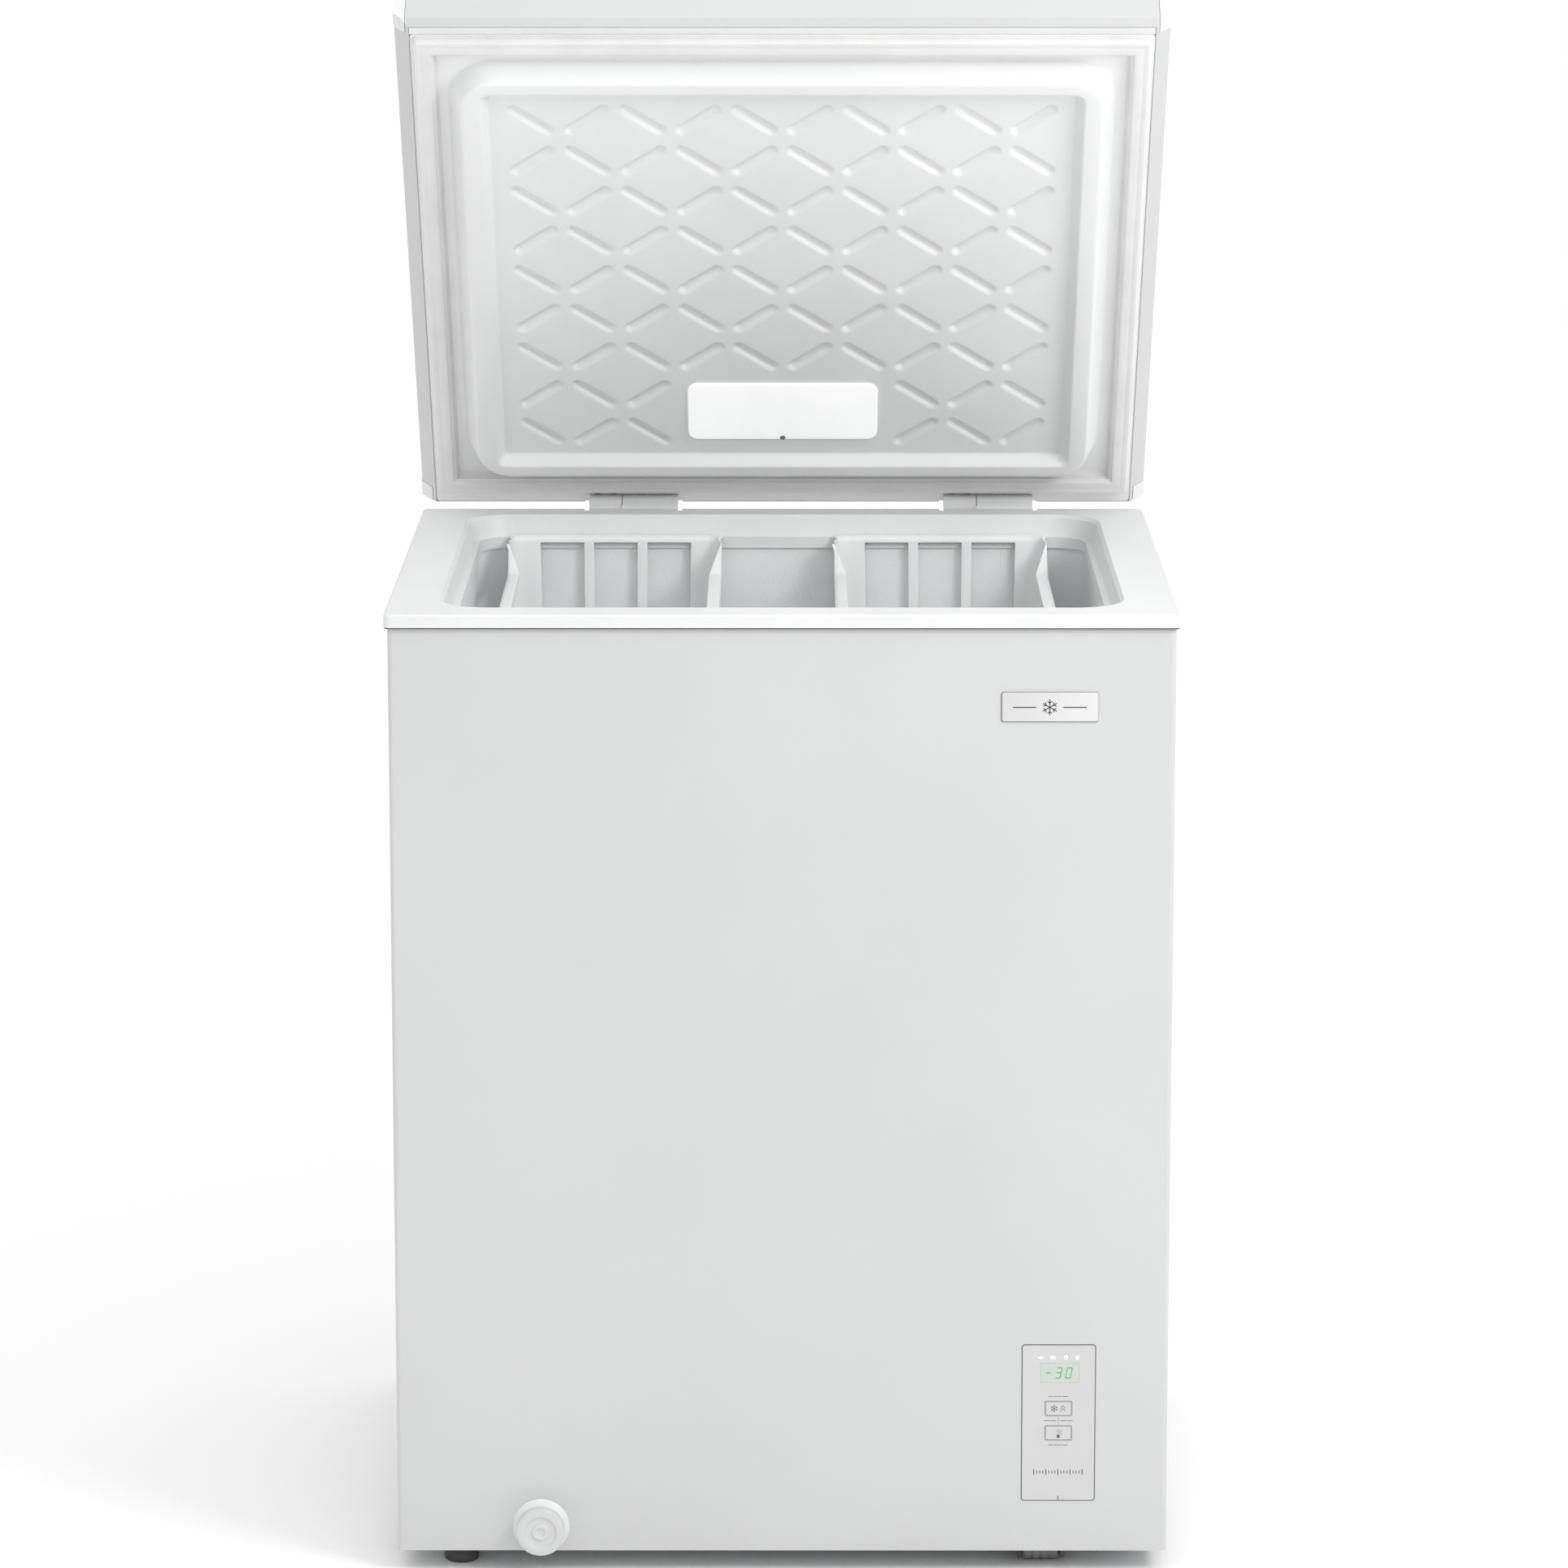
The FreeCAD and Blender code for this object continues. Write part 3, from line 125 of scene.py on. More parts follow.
def sheet_of(points, closed=False, flip=False):
    """A grid of points, rows by columns, as a surface: its points and its faces."""
    rows, columns = points.shape[:2]
    faces = quads(rows, columns, closed)
    return points.reshape(-1, 3), faces[:, ::-1] if flip else faces


def merged(sheets):
    """Several surfaces as one."""
    starts = np.cumsum([0] + [len(points) for points, _ in sheets[:-1]])
    points = np.concatenate([points for points, _ in sheets])
    return points, np.concatenate([faces + start for (_, faces), start in zip(sheets, starts)])


def make_piece(name, surface, body, finish, nodes=(), sharp=40.0, outward=True):
    """A mesh object from points and faces: welded, turned outwards, shaded smooth but for sharp edges."""
    points, faces = surface
    weld = 1e-6
    mesh = bpy.data.meshes.new(name)
    mesh.vertices.add(len(points))
    mesh.vertices.foreach_set("co", np.ascontiguousarray(points, dtype=np.float32).ravel())
    mesh.loops.add(faces.size)
    mesh.loops.foreach_set("vertex_index", np.ascontiguousarray(faces, dtype=np.int32).ravel())
    mesh.polygons.add(len(faces))
    mesh.polygons.foreach_set("loop_start", np.arange(0, faces.size, 4, dtype=np.int32))
    mesh.update(calc_edges=True)
    shape = bmesh.new()
    shape.from_mesh(mesh)
    bmesh.ops.remove_doubles(shape, verts=shape.verts, dist=weld)
    bmesh.ops.dissolve_degenerate(shape, edges=shape.edges, dist=weld)
    if outward:
        bmesh.ops.recalc_face_normals(shape, faces=shape.faces)
    shape.to_mesh(mesh)
    shape.free()
    mesh.shade_smooth()
    mesh.set_sharp_from_angle(angle=math.radians(sharp))
    piece = bpy.data.objects.new(name, mesh)
    bpy.context.scene.collection.objects.link(piece)
    piece.data.materials.append(FINISHES[finish])
    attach(piece, body)
    if nodes:
        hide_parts(*nodes)
    return piece


def make_lid_piece(name, surface, finish, nodes=(), sharp=40.0):
    """A piece of the lid, drawn with the lid shut and turned open with it."""
    points, faces = surface
    return make_piece(name, (turned_about_hinge(points, OPEN_ANGLE), faces), "lid", finish, nodes, sharp)


def make_print(name, lines, place, finish="ink_grey", body="cabinet"):
    """Printed lines as one piece on a front face. The place is its x, its z and the face's y."""
    return make_piece(name, on_front(merged(lines), *place), body, finish, sharp=60)


def rounded_border(half_x, low, high, radius, border):
    """Border points of a square, -1 to 1 each way, laid on a round-cornered rectangle.

    A point in a corner's square keeps its direction from the corner's centre, and the square's
    edge becomes the arc: the offset is multiplied by its longer part over its length.
    """
    middle, half_y = (low + high) / 2, (high - low) / 2
    x, y = border[..., 0] * half_x, border[..., 1] * half_y
    over_x = np.abs(x) - (half_x - radius)
    over_y = np.abs(y) - (half_y - radius)
    corner = (over_x > 0) & (over_y > 0)
    length = np.hypot(over_x, over_y)
    share = np.where(corner, np.maximum(over_x, over_y) / np.maximum(length, 1e-9), 1.0)
    x = np.where(corner, np.sign(x) * (half_x - radius + over_x * share), x)
    y = np.where(corner, np.sign(y) * (half_y - radius + over_y * share), y)
    return x, middle + y


def square_border(across, along):
    """The points of a square's border in order, as many to a side as the grid inside it has."""
    x = np.linspace(-1, 1, across + 1)
    y = np.linspace(-1, 1, along + 1)
    return np.concatenate([
        np.stack([x[:-1], np.full(across, -1.0)], -1),
        np.stack([np.full(along, 1.0), y[:-1]], -1),
        np.stack([x[:0:-1], np.full(across, 1.0)], -1),
        np.stack([np.full(along, -1.0), y[:0:-1]], -1),
    ])


def bent_stations(stations, reaches, steps=5):
    """A broken line of stations with each inner corner replaced by a parabola.

    The parabola starts and ends a reach before and after the corner, and is the corner's
    quadratic blend. A reach of nought keeps the corner.
    """
    stations = np.array(stations, float)
    line = [stations[0]]
    share = np.linspace(0, 1, steps)[:, None]
    for before, corner, after, reach in zip(stations, stations[1:], stations[2:], reaches):
        if reach == 0:
            line.append(corner)
            continue
        back = before - corner
        ahead = after - corner
        start = corner + back * min(0.49, reach / np.linalg.norm(back[[0, -1]]))
        end = corner + ahead * min(0.49, reach / np.linalg.norm(ahead[[0, -1]]))
        line.extend((1 - share) ** 2 * start + 2 * share * (1 - share) * corner + share ** 2 * end)
    line.append(stations[-1])
    return np.array(line)


def ring(half_x, low, high, radius, z, arc=8):
    """A round-cornered rectangle's outline, anticlockwise from above: four arcs of equal steps."""
    radius = min(radius, half_x, (high - low) / 2)
    turn = np.linspace(0, math.pi / 2, arc + 1)
    points = []
    corners = ((half_x - radius, high - radius, 0), (radius - half_x, high - radius, 1),
               (radius - half_x, low + radius, 2), (half_x - radius, low + radius, 3))
    for x, y, quarter in corners:
        angle = turn + quarter * math.pi / 2
        points.append(np.stack([x + radius * np.cos(angle), y + radius * np.sin(angle),
                                np.full(arc + 1, z)], -1))
    return np.concatenate(points)


def plate(half_x, half_y, radius, thickness, edge, arc=6, arcs=4):
    """A round-cornered plate lying on z = 0, its top edge a quarter round and its top flat.

    Rings rise from the base, shrink round the edge on a quarter circle, then close in to the middle.
    """
    rings = [ring(half_x, -half_y, half_y, radius, 0, arc)]
    for turn in np.linspace(0, math.pi / 2, arcs):
        inset = edge * (1 - math.cos(turn))
        rings.append(ring(half_x - inset, inset - half_y, half_y - inset, max(radius - inset, 0.1 * MM),
                          thickness - edge + edge * math.sin(turn), arc))
    top = rings[-1]
    rings += [top * (size, size, 1) for size in (0.9, 0.7, 0.45, 0.2, 0.0)]
    rings.insert(0, rings[0] * (0, 0, 1))
    return sheet_of(np.stack(rings), closed=True)


def turned_shape(profile, steps=64):
    """A profile of (radius, height) turned about z: the point at an angle is radius times its cosine
    and sine. The profile starts and ends on the axis, so the shape is closed."""
    profile = np.array(profile, float)
    angle = np.linspace(0, 2 * math.pi, steps, endpoint=False)
    radius, height = profile[:, 0][:, None], profile[:, 1][:, None]
    return sheet_of(np.stack([radius * np.cos(angle), radius * np.sin(angle),
                              np.broadcast_to(height, (len(profile), steps))], -1), closed=True)


def disc(radius, thickness, steps):
    """A flat round plate lying on z = 0."""
    return turned_shape([(0, 0), (radius, 0), (radius, thickness), (0, thickness)], steps)


def on_front(surface, x, z, face):
    """A surface drawn flat, z outwards, stood on a front face at (x, z) and looking to -Y."""
    points, faces = surface
    return np.stack([points[:, 0] + x, face - points[:, 2], points[:, 1] + z], -1), faces


def stroke(start, end, width, height, arc=8):
    """A printed line: a bar with round ends between two points, raised by a height."""
    start, end = np.array(start, float), np.array(end, float)
    along = end - start
    length = np.hypot(*along)
    turn = math.atan2(along[1], along[0]) if length else 0.0
    angle = np.linspace(-math.pi / 2, math.pi / 2, arc)
    cap = np.stack([np.cos(angle), np.sin(angle)], -1) * width / 2
    outline = np.concatenate([cap + (length, 0), -cap])
    spun = np.stack([outline[:, 0] * math.cos(turn) - outline[:, 1] * math.sin(turn),
                     outline[:, 0] * math.sin(turn) + outline[:, 1] * math.cos(turn)], -1) + start
    middle = np.broadcast_to((start + end) / 2, spun.shape)
    levels = ((middle, 0.0), (spun, 0.0), (spun, height), (middle, height))
    return sheet_of(np.stack([np.column_stack([flat, np.full(len(flat), z)]) for flat, z in levels]),
                    closed=True)


def loop_line(half_x, half_y, radius, width, height, arc=6):
    """A printed round-cornered outline: a raised band between two outlines a width apart."""
    sizes = ((0, 0), (0, height), (width, height), (width, 0))
    rings = [ring(half_x - inset, inset - half_y, half_y - inset, radius - inset, z, arc)
             for inset, z in sizes]
    return sheet_of(np.stack(rings + rings[:1]), closed=True)


def moved(surface, x, y):
    """A flat surface moved within its plane."""
    points, faces = surface
    return points + (x, y, 0), faces


def snowflake(size, width, height):
    """Six arms from the middle, each with two short barbs that lean outwards."""
    fork, barb_length, barb_lean = 0.55 * size, 0.34 * size, math.radians(50)
    lines = []
    for arm in range(6):
        angle = math.radians(30 + 60 * arm)
        direction = np.array([math.cos(angle), math.sin(angle)])
        lines.append(stroke((0, 0), direction * size, width, height))
        for side in (-1, 1):
            lean = angle + side * barb_lean
            barb = np.array([math.cos(lean), math.sin(lean)]) * barb_length
            lines.append(stroke(direction * fork, direction * fork + barb, width, height))
    return merged(lines)


# Shader nodes

class Wire:
    """A node's socket. Arithmetic on it adds Math nodes to its finish."""

    def __init__(self, finish, socket):
        self.finish = finish
        self.socket = socket

    def math(self, operation, first, *others):
        """A Math node's outcome."""
        return self.finish.node("ShaderNodeMath", {"operation": operation}, dict(enumerate((first, *others))))

    def __add__(self, other):
        return self.math("ADD", self, other)

    __radd__ = __add__

    def __sub__(self, other):
        return self.math("SUBTRACT", self, other)

    def __rsub__(self, other):
        return self.math("SUBTRACT", other, self)

    def __mul__(self, other):
        return self.math("MULTIPLY", self, other)

    __rmul__ = __mul__

    def __truediv__(self, other):
        return self.math("DIVIDE", self, other)

    def sine(self):
        """The sine of an angle in radians."""
        return self.math("SINE", self)

    def rise(self, low, high):
        """Nought below low, one above high, and smooth between."""
        return self.finish.node("ShaderNodeMapRange", {"interpolation_type": "SMOOTHSTEP"},
                                {"Value": self, "From Min": low, "From Max": high})


class Nodes:
    """A node tree that is cleared and then built up."""

    def __init__(self, owner):
        owner.use_nodes = True
        self.tree = owner.node_tree
        self.tree.nodes.clear()

    def node(self, kind, settings=None, values=None, out=0):
        """A node of a kind: its settings are set first, then the values or links of its sockets."""
        made = self.tree.nodes.new(kind)
        for name, setting in (settings or {}).items():
            setattr(made, name, setting)
        for name, value in (values or {}).items():
            if isinstance(value, Wire):
                self.tree.links.new(value.socket, made.inputs[name])
            else:
                made.inputs[name].default_value = value
        return Wire(self, made.outputs[out])

    def parts(self, place):
        """The x, y and z of a place."""
        split = self.node("ShaderNodeSeparateXYZ", values={"Vector": place})
        return [Wire(self, output) for output in split.socket.node.outputs]

    def finish(self, kind, shader):
        """Join a shader to an output node."""
        made = self.tree.nodes.new(kind)
        self.tree.links.new(shader.socket, made.inputs["Surface"])


class Finish(Nodes):
    """A material's nodes. Every pattern is on Object coordinates, in metres."""

    def __init__(self, name):
        self.material = bpy.data.materials.new(name)
        super().__init__(self.material)
        self.place = self.node("ShaderNodeTexCoord", out="Object")

    def noise(self, grain, detail=3.0, rough=0.5, stretch=None):
        """Cloudy noise whose spots are about a grain wide, in metres."""
        place = self.place
        if stretch:
            place = self.node("ShaderNodeMapping", values={"Vector": self.place, "Scale": stretch})
        return self.node("ShaderNodeTexNoise", values={"Vector": place, "Scale": 1 / grain, "Detail": detail,
                                                       "Roughness": rough}, out="Fac")

    def cells(self, size, out="Distance"):
        """Cells of about a size, in metres."""
        return self.node("ShaderNodeTexVoronoi", values={"Vector": self.place, "Scale": 1 / size}, out=out)

    def mix(self, share, first, second):
        """A colour that goes from the first to the second as the share goes from nought to one."""
        values = {0: share}
        for index, colour in ((6, first), (7, second)):
            values[index] = colour if isinstance(colour, Wire) else (*colour[:3], 1.0)
        return self.node("ShaderNodeMix", {"data_type": "RGBA"}, values, out=2)

    def bump(self, height, depth):
        """A bump whose height of one stands for a depth in metres."""
        return self.node("ShaderNodeBump", values={"Height": height, "Distance": depth, "Strength": 1.0},
                         out="Normal")

    def tinted(self, share, colour, darker, lighter):
        """A colour that goes from a darker to a lighter shade of itself with the share."""
        return self.mix(share, shade(colour, darker), shade(colour, lighter))

    def surface(self, colour, roughness, normal=None, **settings):
        """The finish's shader, and the finished material."""
        values = {"Base Color": colour if isinstance(colour, Wire) else (*colour[:3], 1.0),
                  "Roughness": roughness}
        if normal:
            values["Normal"] = normal
        values.update({name.replace("_", " "): value for name, value in settings.items()})
        shader = self.node("ShaderNodeBsdfPrincipled", values=values, out="BSDF")
        self.finish("ShaderNodeOutputMaterial", shader)
        return self.material


def shade(colour, factor):
    """A colour made darker or lighter by a factor."""
    return tuple(min(1.0, part * factor) for part in colour[:3])


def enamel_finish(colours):
    """Sprayed enamel on sheet steel: faint orange peel, soft gloss, and a patchy band near the floor, a little
    darker and rougher.
    """
    finish = Finish("sprayed_enamel")
    peel = finish.noise(2.2 * MM, 2.0)
    sweep = finish.noise(160 * MM, 2.0)
    specks = finish.noise(0.5 * MM, 1.0).rise(0.66, 0.74)
    height = finish.parts(finish.place)[2]
    low_band_height = 90 * MM
    # A patchy band in the lowest 90 mm, darker and rougher towards the bottom.
    dust = (low_band_height - height).rise(0.0, low_band_height) * finish.noise(12 * MM, 4.0)
    colour = finish.tinted(sweep.rise(0.3, 0.7), colours.enamel, 0.985, 1.01)
    colour = finish.mix(specks * 0.05 + dust * 0.07, colour, (0.45, 0.44, 0.42))
    rough = 0.3 + peel * 0.05 + sweep * 0.05 + dust * 0.15
    return finish.surface(colour, rough, finish.bump(peel, 0.012 * MM), Coat_Weight=0.12,
                          Coat_Roughness=0.12)


def moulded_finish(name, colour, grain=0.45 * MM, depth=0.01 * MM, rough=0.36, mottle=0.02, **settings):
    """Moulded plastic: a fine spark grain, slow gloss changes where the melt flowed, light scuffs."""
    finish = Finish(name)
    fine = finish.noise(grain, 2.0)
    flow = finish.noise(55 * MM, 3.0, stretch=(1.0, 0.35, 1.0))
    scuffs = finish.noise(1.4 * MM, 5.0, 0.7, stretch=(0.12, 1.0, 1.0)).rise(0.62, 0.72)
    tone = finish.tinted(flow.rise(0.25, 0.75), colour, 1 - mottle, 1 + mottle)
    tone = finish.mix(scuffs * 0.06, tone, shade(colour, 0.8))
    gloss = rough + fine * 0.06 + flow * 0.07 + scuffs * 0.1
    return finish.surface(tone, gloss, finish.bump(fine + scuffs * 0.4, depth), **settings)


def formed_sheet_finish(colours):
    """Vacuum-formed sheet: a shallow pebble, stretched glossier where it was drawn."""
    finish = Finish("formed_sheet")
    pebble = finish.cells(1.1 * MM)
    fine = finish.noise(0.35 * MM, 1.0)
    drawn = finish.noise(90 * MM, 2.0)
    tone = finish.tinted(drawn.rise(0.3, 0.7), colours.lid_liner, 0.985, 1.012)
    rough = 0.34 + drawn * 0.08 + fine * 0.05
    return finish.surface(tone, rough, finish.bump(pebble + fine * 0.3, 0.012 * MM))


def liner_sheet_finish(colours):
    """Embossed aluminium: rounded dimples pressed over a lacquered sheet with a drawn grain."""
    finish = Finish("embossed_liner")
    dimples = finish.cells(3.4 * MM).rise(0.15, 0.6)
    grain = finish.noise(0.8 * MM, 2.0, stretch=(1.0, 1.0, 0.06))
    cloud = finish.noise(70 * MM, 3.0)
    tone = finish.tinted(cloud.rise(0.3, 0.7), colours.inner_liner, 0.97, 1.02)
    rough = 0.38 + grain * 0.08 + cloud * 0.08
    return finish.surface(tone, rough, finish.bump(dimples + grain * 0.15, 0.05 * MM), Metallic=0.1)


def foam_finish():
    """Blown foam: open cells under a torn, uneven skin."""
    finish = Finish("blown_foam")
    cells = finish.cells(1.6 * MM)
    skin = finish.noise(18 * MM, 4.0)
    tone = finish.mix(cells.rise(0.1, 0.5), (0.55, 0.45, 0.26), (0.8, 0.71, 0.48))
    tone = finish.mix(skin.rise(0.45, 0.7) * 0.5, tone, (0.86, 0.79, 0.6))
    return finish.surface(tone, 0.8 + skin * 0.15, finish.bump(cells, 0.4 * MM))


def zinc_finish():
    """Galvanised steel: spangles of different brightness with rolled scratches."""
    finish = Finish("galvanised_steel")
    spangle = finish.cells(7 * MM, out="Color")
    value = finish.node("ShaderNodeRGBToBW", values={"Color": spangle})
    scratch = finish.noise(0.7 * MM, 3.0, stretch=(0.05, 1.0, 1.0))
    tone = finish.mix(value, (0.5, 0.51, 0.52), (0.72, 0.73, 0.74))
    rough = 0.32 + value * 0.16 + scratch * 0.1
    return finish.surface(tone, rough, finish.bump(scratch, 0.01 * MM), Metallic=0.9)


def black_steel_finish():
    """Black stoved paint over a rough weldment, rubbed and dusty on top."""
    finish = Finish("black_stoved_steel")
    lumps = finish.noise(1.6 * MM, 3.0)
    dust = finish.noise(25 * MM, 4.0).rise(0.4, 0.8)
    tone = finish.mix(dust * 0.35, (0.02, 0.02, 0.022), (0.16, 0.155, 0.15))
    rough = 0.35 + dust * 0.3 + lumps * 0.1
    return finish.surface(tone, rough, finish.bump(lumps, 0.03 * MM), Coat_Weight=0.2)


def metal_tube_finish(name, bright, dull, metallic=1.0):
    """Drawn tube with patches of tarnish and faint drawing lines."""
    finish = Finish(name)
    tarnish = finish.noise(14 * MM, 5.0, 0.65)
    lines = finish.noise(0.5 * MM, 2.0, stretch=(1.0, 1.0, 0.08))
    tone = finish.mix(tarnish.rise(0.4, 0.68), bright, dull)
    rough = 0.26 + tarnish * 0.25 + lines * 0.08
    return finish.surface(tone, rough, finish.bump(lines, 0.008 * MM), Metallic=metallic)


def rubber_finish():
    """Matte rubber with a bloom and a moulded grain."""
    finish = Finish("dark_rubber")
    grain = finish.noise(0.5 * MM, 2.0)
    bloom = finish.noise(9 * MM, 4.0).rise(0.45, 0.7)
    tone = finish.mix(bloom * 0.4, (0.025, 0.025, 0.026), (0.09, 0.088, 0.085))
    return finish.surface(tone, 0.72 + bloom * 0.15, finish.bump(grain, 0.03 * MM))


def seal_finish(colours):
    """Soft vinyl seal: satin, drawn along its length, with a patchy trace of dust."""
    finish = Finish("seal_vinyl")
    grain = finish.noise(0.6 * MM, 2.0)
    handled = finish.noise(35 * MM, 3.0)
    tone = finish.mix(handled.rise(0.35, 0.7), colours.seal, shade(colours.seal, 0.95))
    return finish.surface(tone, 0.46 + handled * 0.12 + grain * 0.05, finish.bump(grain, 0.012 * MM))


def magnet_finish():
    """Bonded ferrite strip: dark, grainy, with pale score lines across it."""
    finish = Finish("bonded_ferrite")
    grain = finish.noise(0.4 * MM, 2.0)
    chips = finish.cells(2.5 * MM).rise(0.05, 0.2)
    tone = finish.mix(chips, (0.12, 0.11, 0.1), (0.045, 0.043, 0.042))
    return finish.surface(tone, 0.6 + grain * 0.2, finish.bump(grain, 0.03 * MM))


def board_finish():
    """Green solder mask over tracks that show as a raised, brighter pattern."""
    finish = Finish("circuit_board")
    tracks = finish.node("ShaderNodeTexBrick", out="Fac", values={"Vector": finish.place, "Scale": 180.0,
                                                                  "Mortar Size": 0.03})
    grain = finish.noise(2 * MM, 2.0)
    tone = finish.mix(tracks, (0.02, 0.12, 0.05), (0.06, 0.26, 0.12))
    return finish.surface(tone, 0.35 + grain * 0.15, finish.bump(tracks, 0.03 * MM))


def lamp_finish(colours):
    """Opal diffuser: milky, faintly ribbed inside, a touch brighter than the plastic round it."""
    finish = Finish("opal_diffuser")
    rib_pitch = 2.4 * MM
    ribs = (finish.parts(finish.place)[0] * (2 * math.pi / rib_pitch)).sine()
    cloud = finish.noise(30 * MM, 2.0)
    tone = finish.mix(cloud.rise(0.3, 0.7), colours.lamp, shade(colours.lamp, 0.97))
    glow = finish.mix(cloud, (1.0, 1.0, 1.0), (0.93, 0.94, 0.95))
    return finish.surface(tone, 0.28 + cloud * 0.06, finish.bump(ribs, 0.006 * MM), Emission_Color=glow,
                          Emission_Strength=0.36)


def plate_finish(colours):
    """Satin foil name plate: brushed from side to side under a clear lacquer, with painted light: darker at its
    left and full colour at its right.
    """
    finish = Finish("brushed_name_plate_painted_light")
    brush = finish.noise(0.5 * MM, 4.0, 0.6, stretch=(0.02, 1.0, 1.0))
    low, high = box("name_plate")
    # Painted light: a share that rises from the plate's left edge to its right, so the left is painted in shade
    # and the right lit.
    side = ((finish.parts(finish.place)[0] - low[0]) / (high[0] - low[0])).rise(0.0, 1.0)
    tone = finish.mix(side, shade(colours.name_plate, 0.86), colours.name_plate)
    tone = finish.mix(brush * 0.25, tone, shade(colours.name_plate, 0.8))
    return finish.surface(tone, 0.3 + brush * 0.16, finish.bump(brush, 0.006 * MM), Metallic=0.35,
                          Coat_Weight=0.3, Coat_Roughness=0.2)


def window_finish(colours):
    """Smoked clear window over the display, grey-green, with a fine anti-glare grain."""
    finish = Finish("display_window")
    grain = finish.noise(0.3 * MM, 1.0)
    smear = finish.noise(8 * MM, 3.0)
    tone = finish.mix(smear.rise(0.3, 0.7), colours.window, shade(colours.window, 0.97))
    return finish.surface(tone, 0.2 + grain * 0.05 + smear * 0.08, finish.bump(grain, 0.004 * MM))


def print_finish(name, colour, glow=0.0):
    """Screen-printed ink: slightly uneven cover and edge-to-edge grain. A glow makes it give light of its own: the
    display's lit digits, and as painted light the white print.
    """
    finish = Finish(name)
    cover = finish.noise(0.25 * MM, 2.0)
    tone = finish.mix(cover.rise(0.35, 0.7) * 0.25, colour, shade(colour, 1.25))
    return finish.surface(tone, 0.45 + cover * 0.15, finish.bump(cover, 0.004 * MM),
                          Emission_Color=(*colour[:3], 1.0), Emission_Strength=glow)


def floor_finish(colours):
    """Matt painted studio floor with the faintest roller texture."""
    finish = Finish("studio_floor")
    roller = finish.noise(4 * MM, 3.0)
    tone = finish.mix(finish.noise(0.9, 2.0), colours.floor, shade(colours.floor, 0.985))
    return finish.surface(tone, 0.6 + roller * 0.1, finish.bump(roller, 0.02 * MM))


def make_finishes(colours):
    """One finish for each material slot of the record, and the printed inks."""
    white, dark = colours.moulding, (0.06, 0.06, 0.062)
    return {
        "white_steel": enamel_finish(colours),
        "white_plastic": moulded_finish("white_moulding", white),
        "white_abs": formed_sheet_finish(colours),
        "liner_sheet": liner_sheet_finish(colours),
        "foam": foam_finish(),
        "zinc_steel": zinc_finish(),
        "black_steel": black_steel_finish(),
        "copper": metal_tube_finish("drawn_copper", (0.8, 0.42, 0.26), (0.42, 0.2, 0.12)),
        "steel_tube": metal_tube_finish("dark_steel_tube", (0.14, 0.14, 0.15), (0.07, 0.065, 0.06), 0.4),
        # Painted shade: a darker copy of the white moulding for the drain knob.
        "drain_moulding_painted_shade": moulded_finish("drain_moulding_painted_shade", shade(white, 0.82)),
        "dark_rubber": rubber_finish(),
        "dark_plastic": moulded_finish("dark_moulding", dark, rough=0.5, mottle=0.12),
        "grey_plastic": moulded_finish("grey_roller", colours.roller, rough=0.45, mottle=0.06),
        "panel_plastic": moulded_finish("panel_moulding", colours.panel, 0.3 * MM, 0.006 * MM, 0.3),
        "key_plastic": moulded_finish("key_moulding", colours.panel, 0.3 * MM, 0.008 * MM, 0.34),
        "display_window": window_finish(colours),
        "name_plate": plate_finish(colours),
        "seal_vinyl": seal_finish(colours),
        "magnet": magnet_finish(),
        "lamp_diffuser": lamp_finish(colours),
        "circuit_board": board_finish(),
        "basket_plastic": moulded_finish("basket_moulding", colours.basket, 0.6 * MM, 0.008 * MM, 0.33),
        "ink_grey": print_finish("grey_ink", (0.16, 0.16, 0.165)),
        "ink_dark": print_finish("dark_ink", (0.045, 0.045, 0.05)),
        # Painted light: white print given a faint glow, though nothing lights it from within.
        "ink_white_painted_glow": print_finish("white_ink_painted_glow", (0.95, 0.95, 0.95), 0.15),
        "digits": print_finish("display_green", (0.1, 0.4, 0.12), 0.1),
        "floor": floor_finish(colours),
    }


# Sizes and colours that a user would change

def length(name, description, default):
    """A length in metres."""
    return FloatProperty(name=name, description=description, default=default, min=0.0, unit="LENGTH",
                         subtype="DISTANCE")


def strength(name, description, default):
    """The power of a light, in watts or as a share of white."""
    return FloatProperty(name=name, description=description, default=default, min=0.0)


def turn(name, description, degrees):
    """An angle given in degrees."""
    return FloatProperty(name=name, description=description, default=math.radians(degrees), subtype="ANGLE")


def tint(name, description, value):
    """A colour."""
    return FloatVectorProperty(name=name, description=description, subtype="COLOR", size=3, min=0.0, max=1.0,
                               default=value)


class FreezerColours(bpy.types.PropertyGroup):
    """Colours of the finishes."""

    enamel: tint("Enamel", "Sprayed steel of the cabinet and the lid", (0.6, 0.603, 0.607))
    moulding: tint("Mouldings", "Rim collar, hinges, end caps and drain", (0.77, 0.773, 0.777))
    lid_liner: tint("Lid liner", "Formed sheet inside the lid", (0.83, 0.833, 0.837))
    inner_liner: tint("Inner liner", "Embossed sheet inside the cabinet", (0.84, 0.845, 0.85))
    seal: tint("Seal", "Vinyl seal round the lid", (0.78, 0.78, 0.775))
    basket: tint("Baskets", "Hanging baskets", (0.86, 0.863, 0.867))
    lamp: tint("Lamp cover", "Diffuser in the lid", (0.92, 0.92, 0.92))
    panel: tint("Control panel", "Bezel and keys", (0.6, 0.6, 0.605))
    window: tint("Display window", "Window over the digits", (0.56, 0.61, 0.56))
    name_plate: tint("Name plate", "Brushed name plate", (0.76, 0.76, 0.76))
    roller: tint("Rollers", "Rollers under the cabinet", (0.2, 0.2, 0.195))
    floor: tint("Floor", "Studio floor", (0.95, 0.95, 0.95))


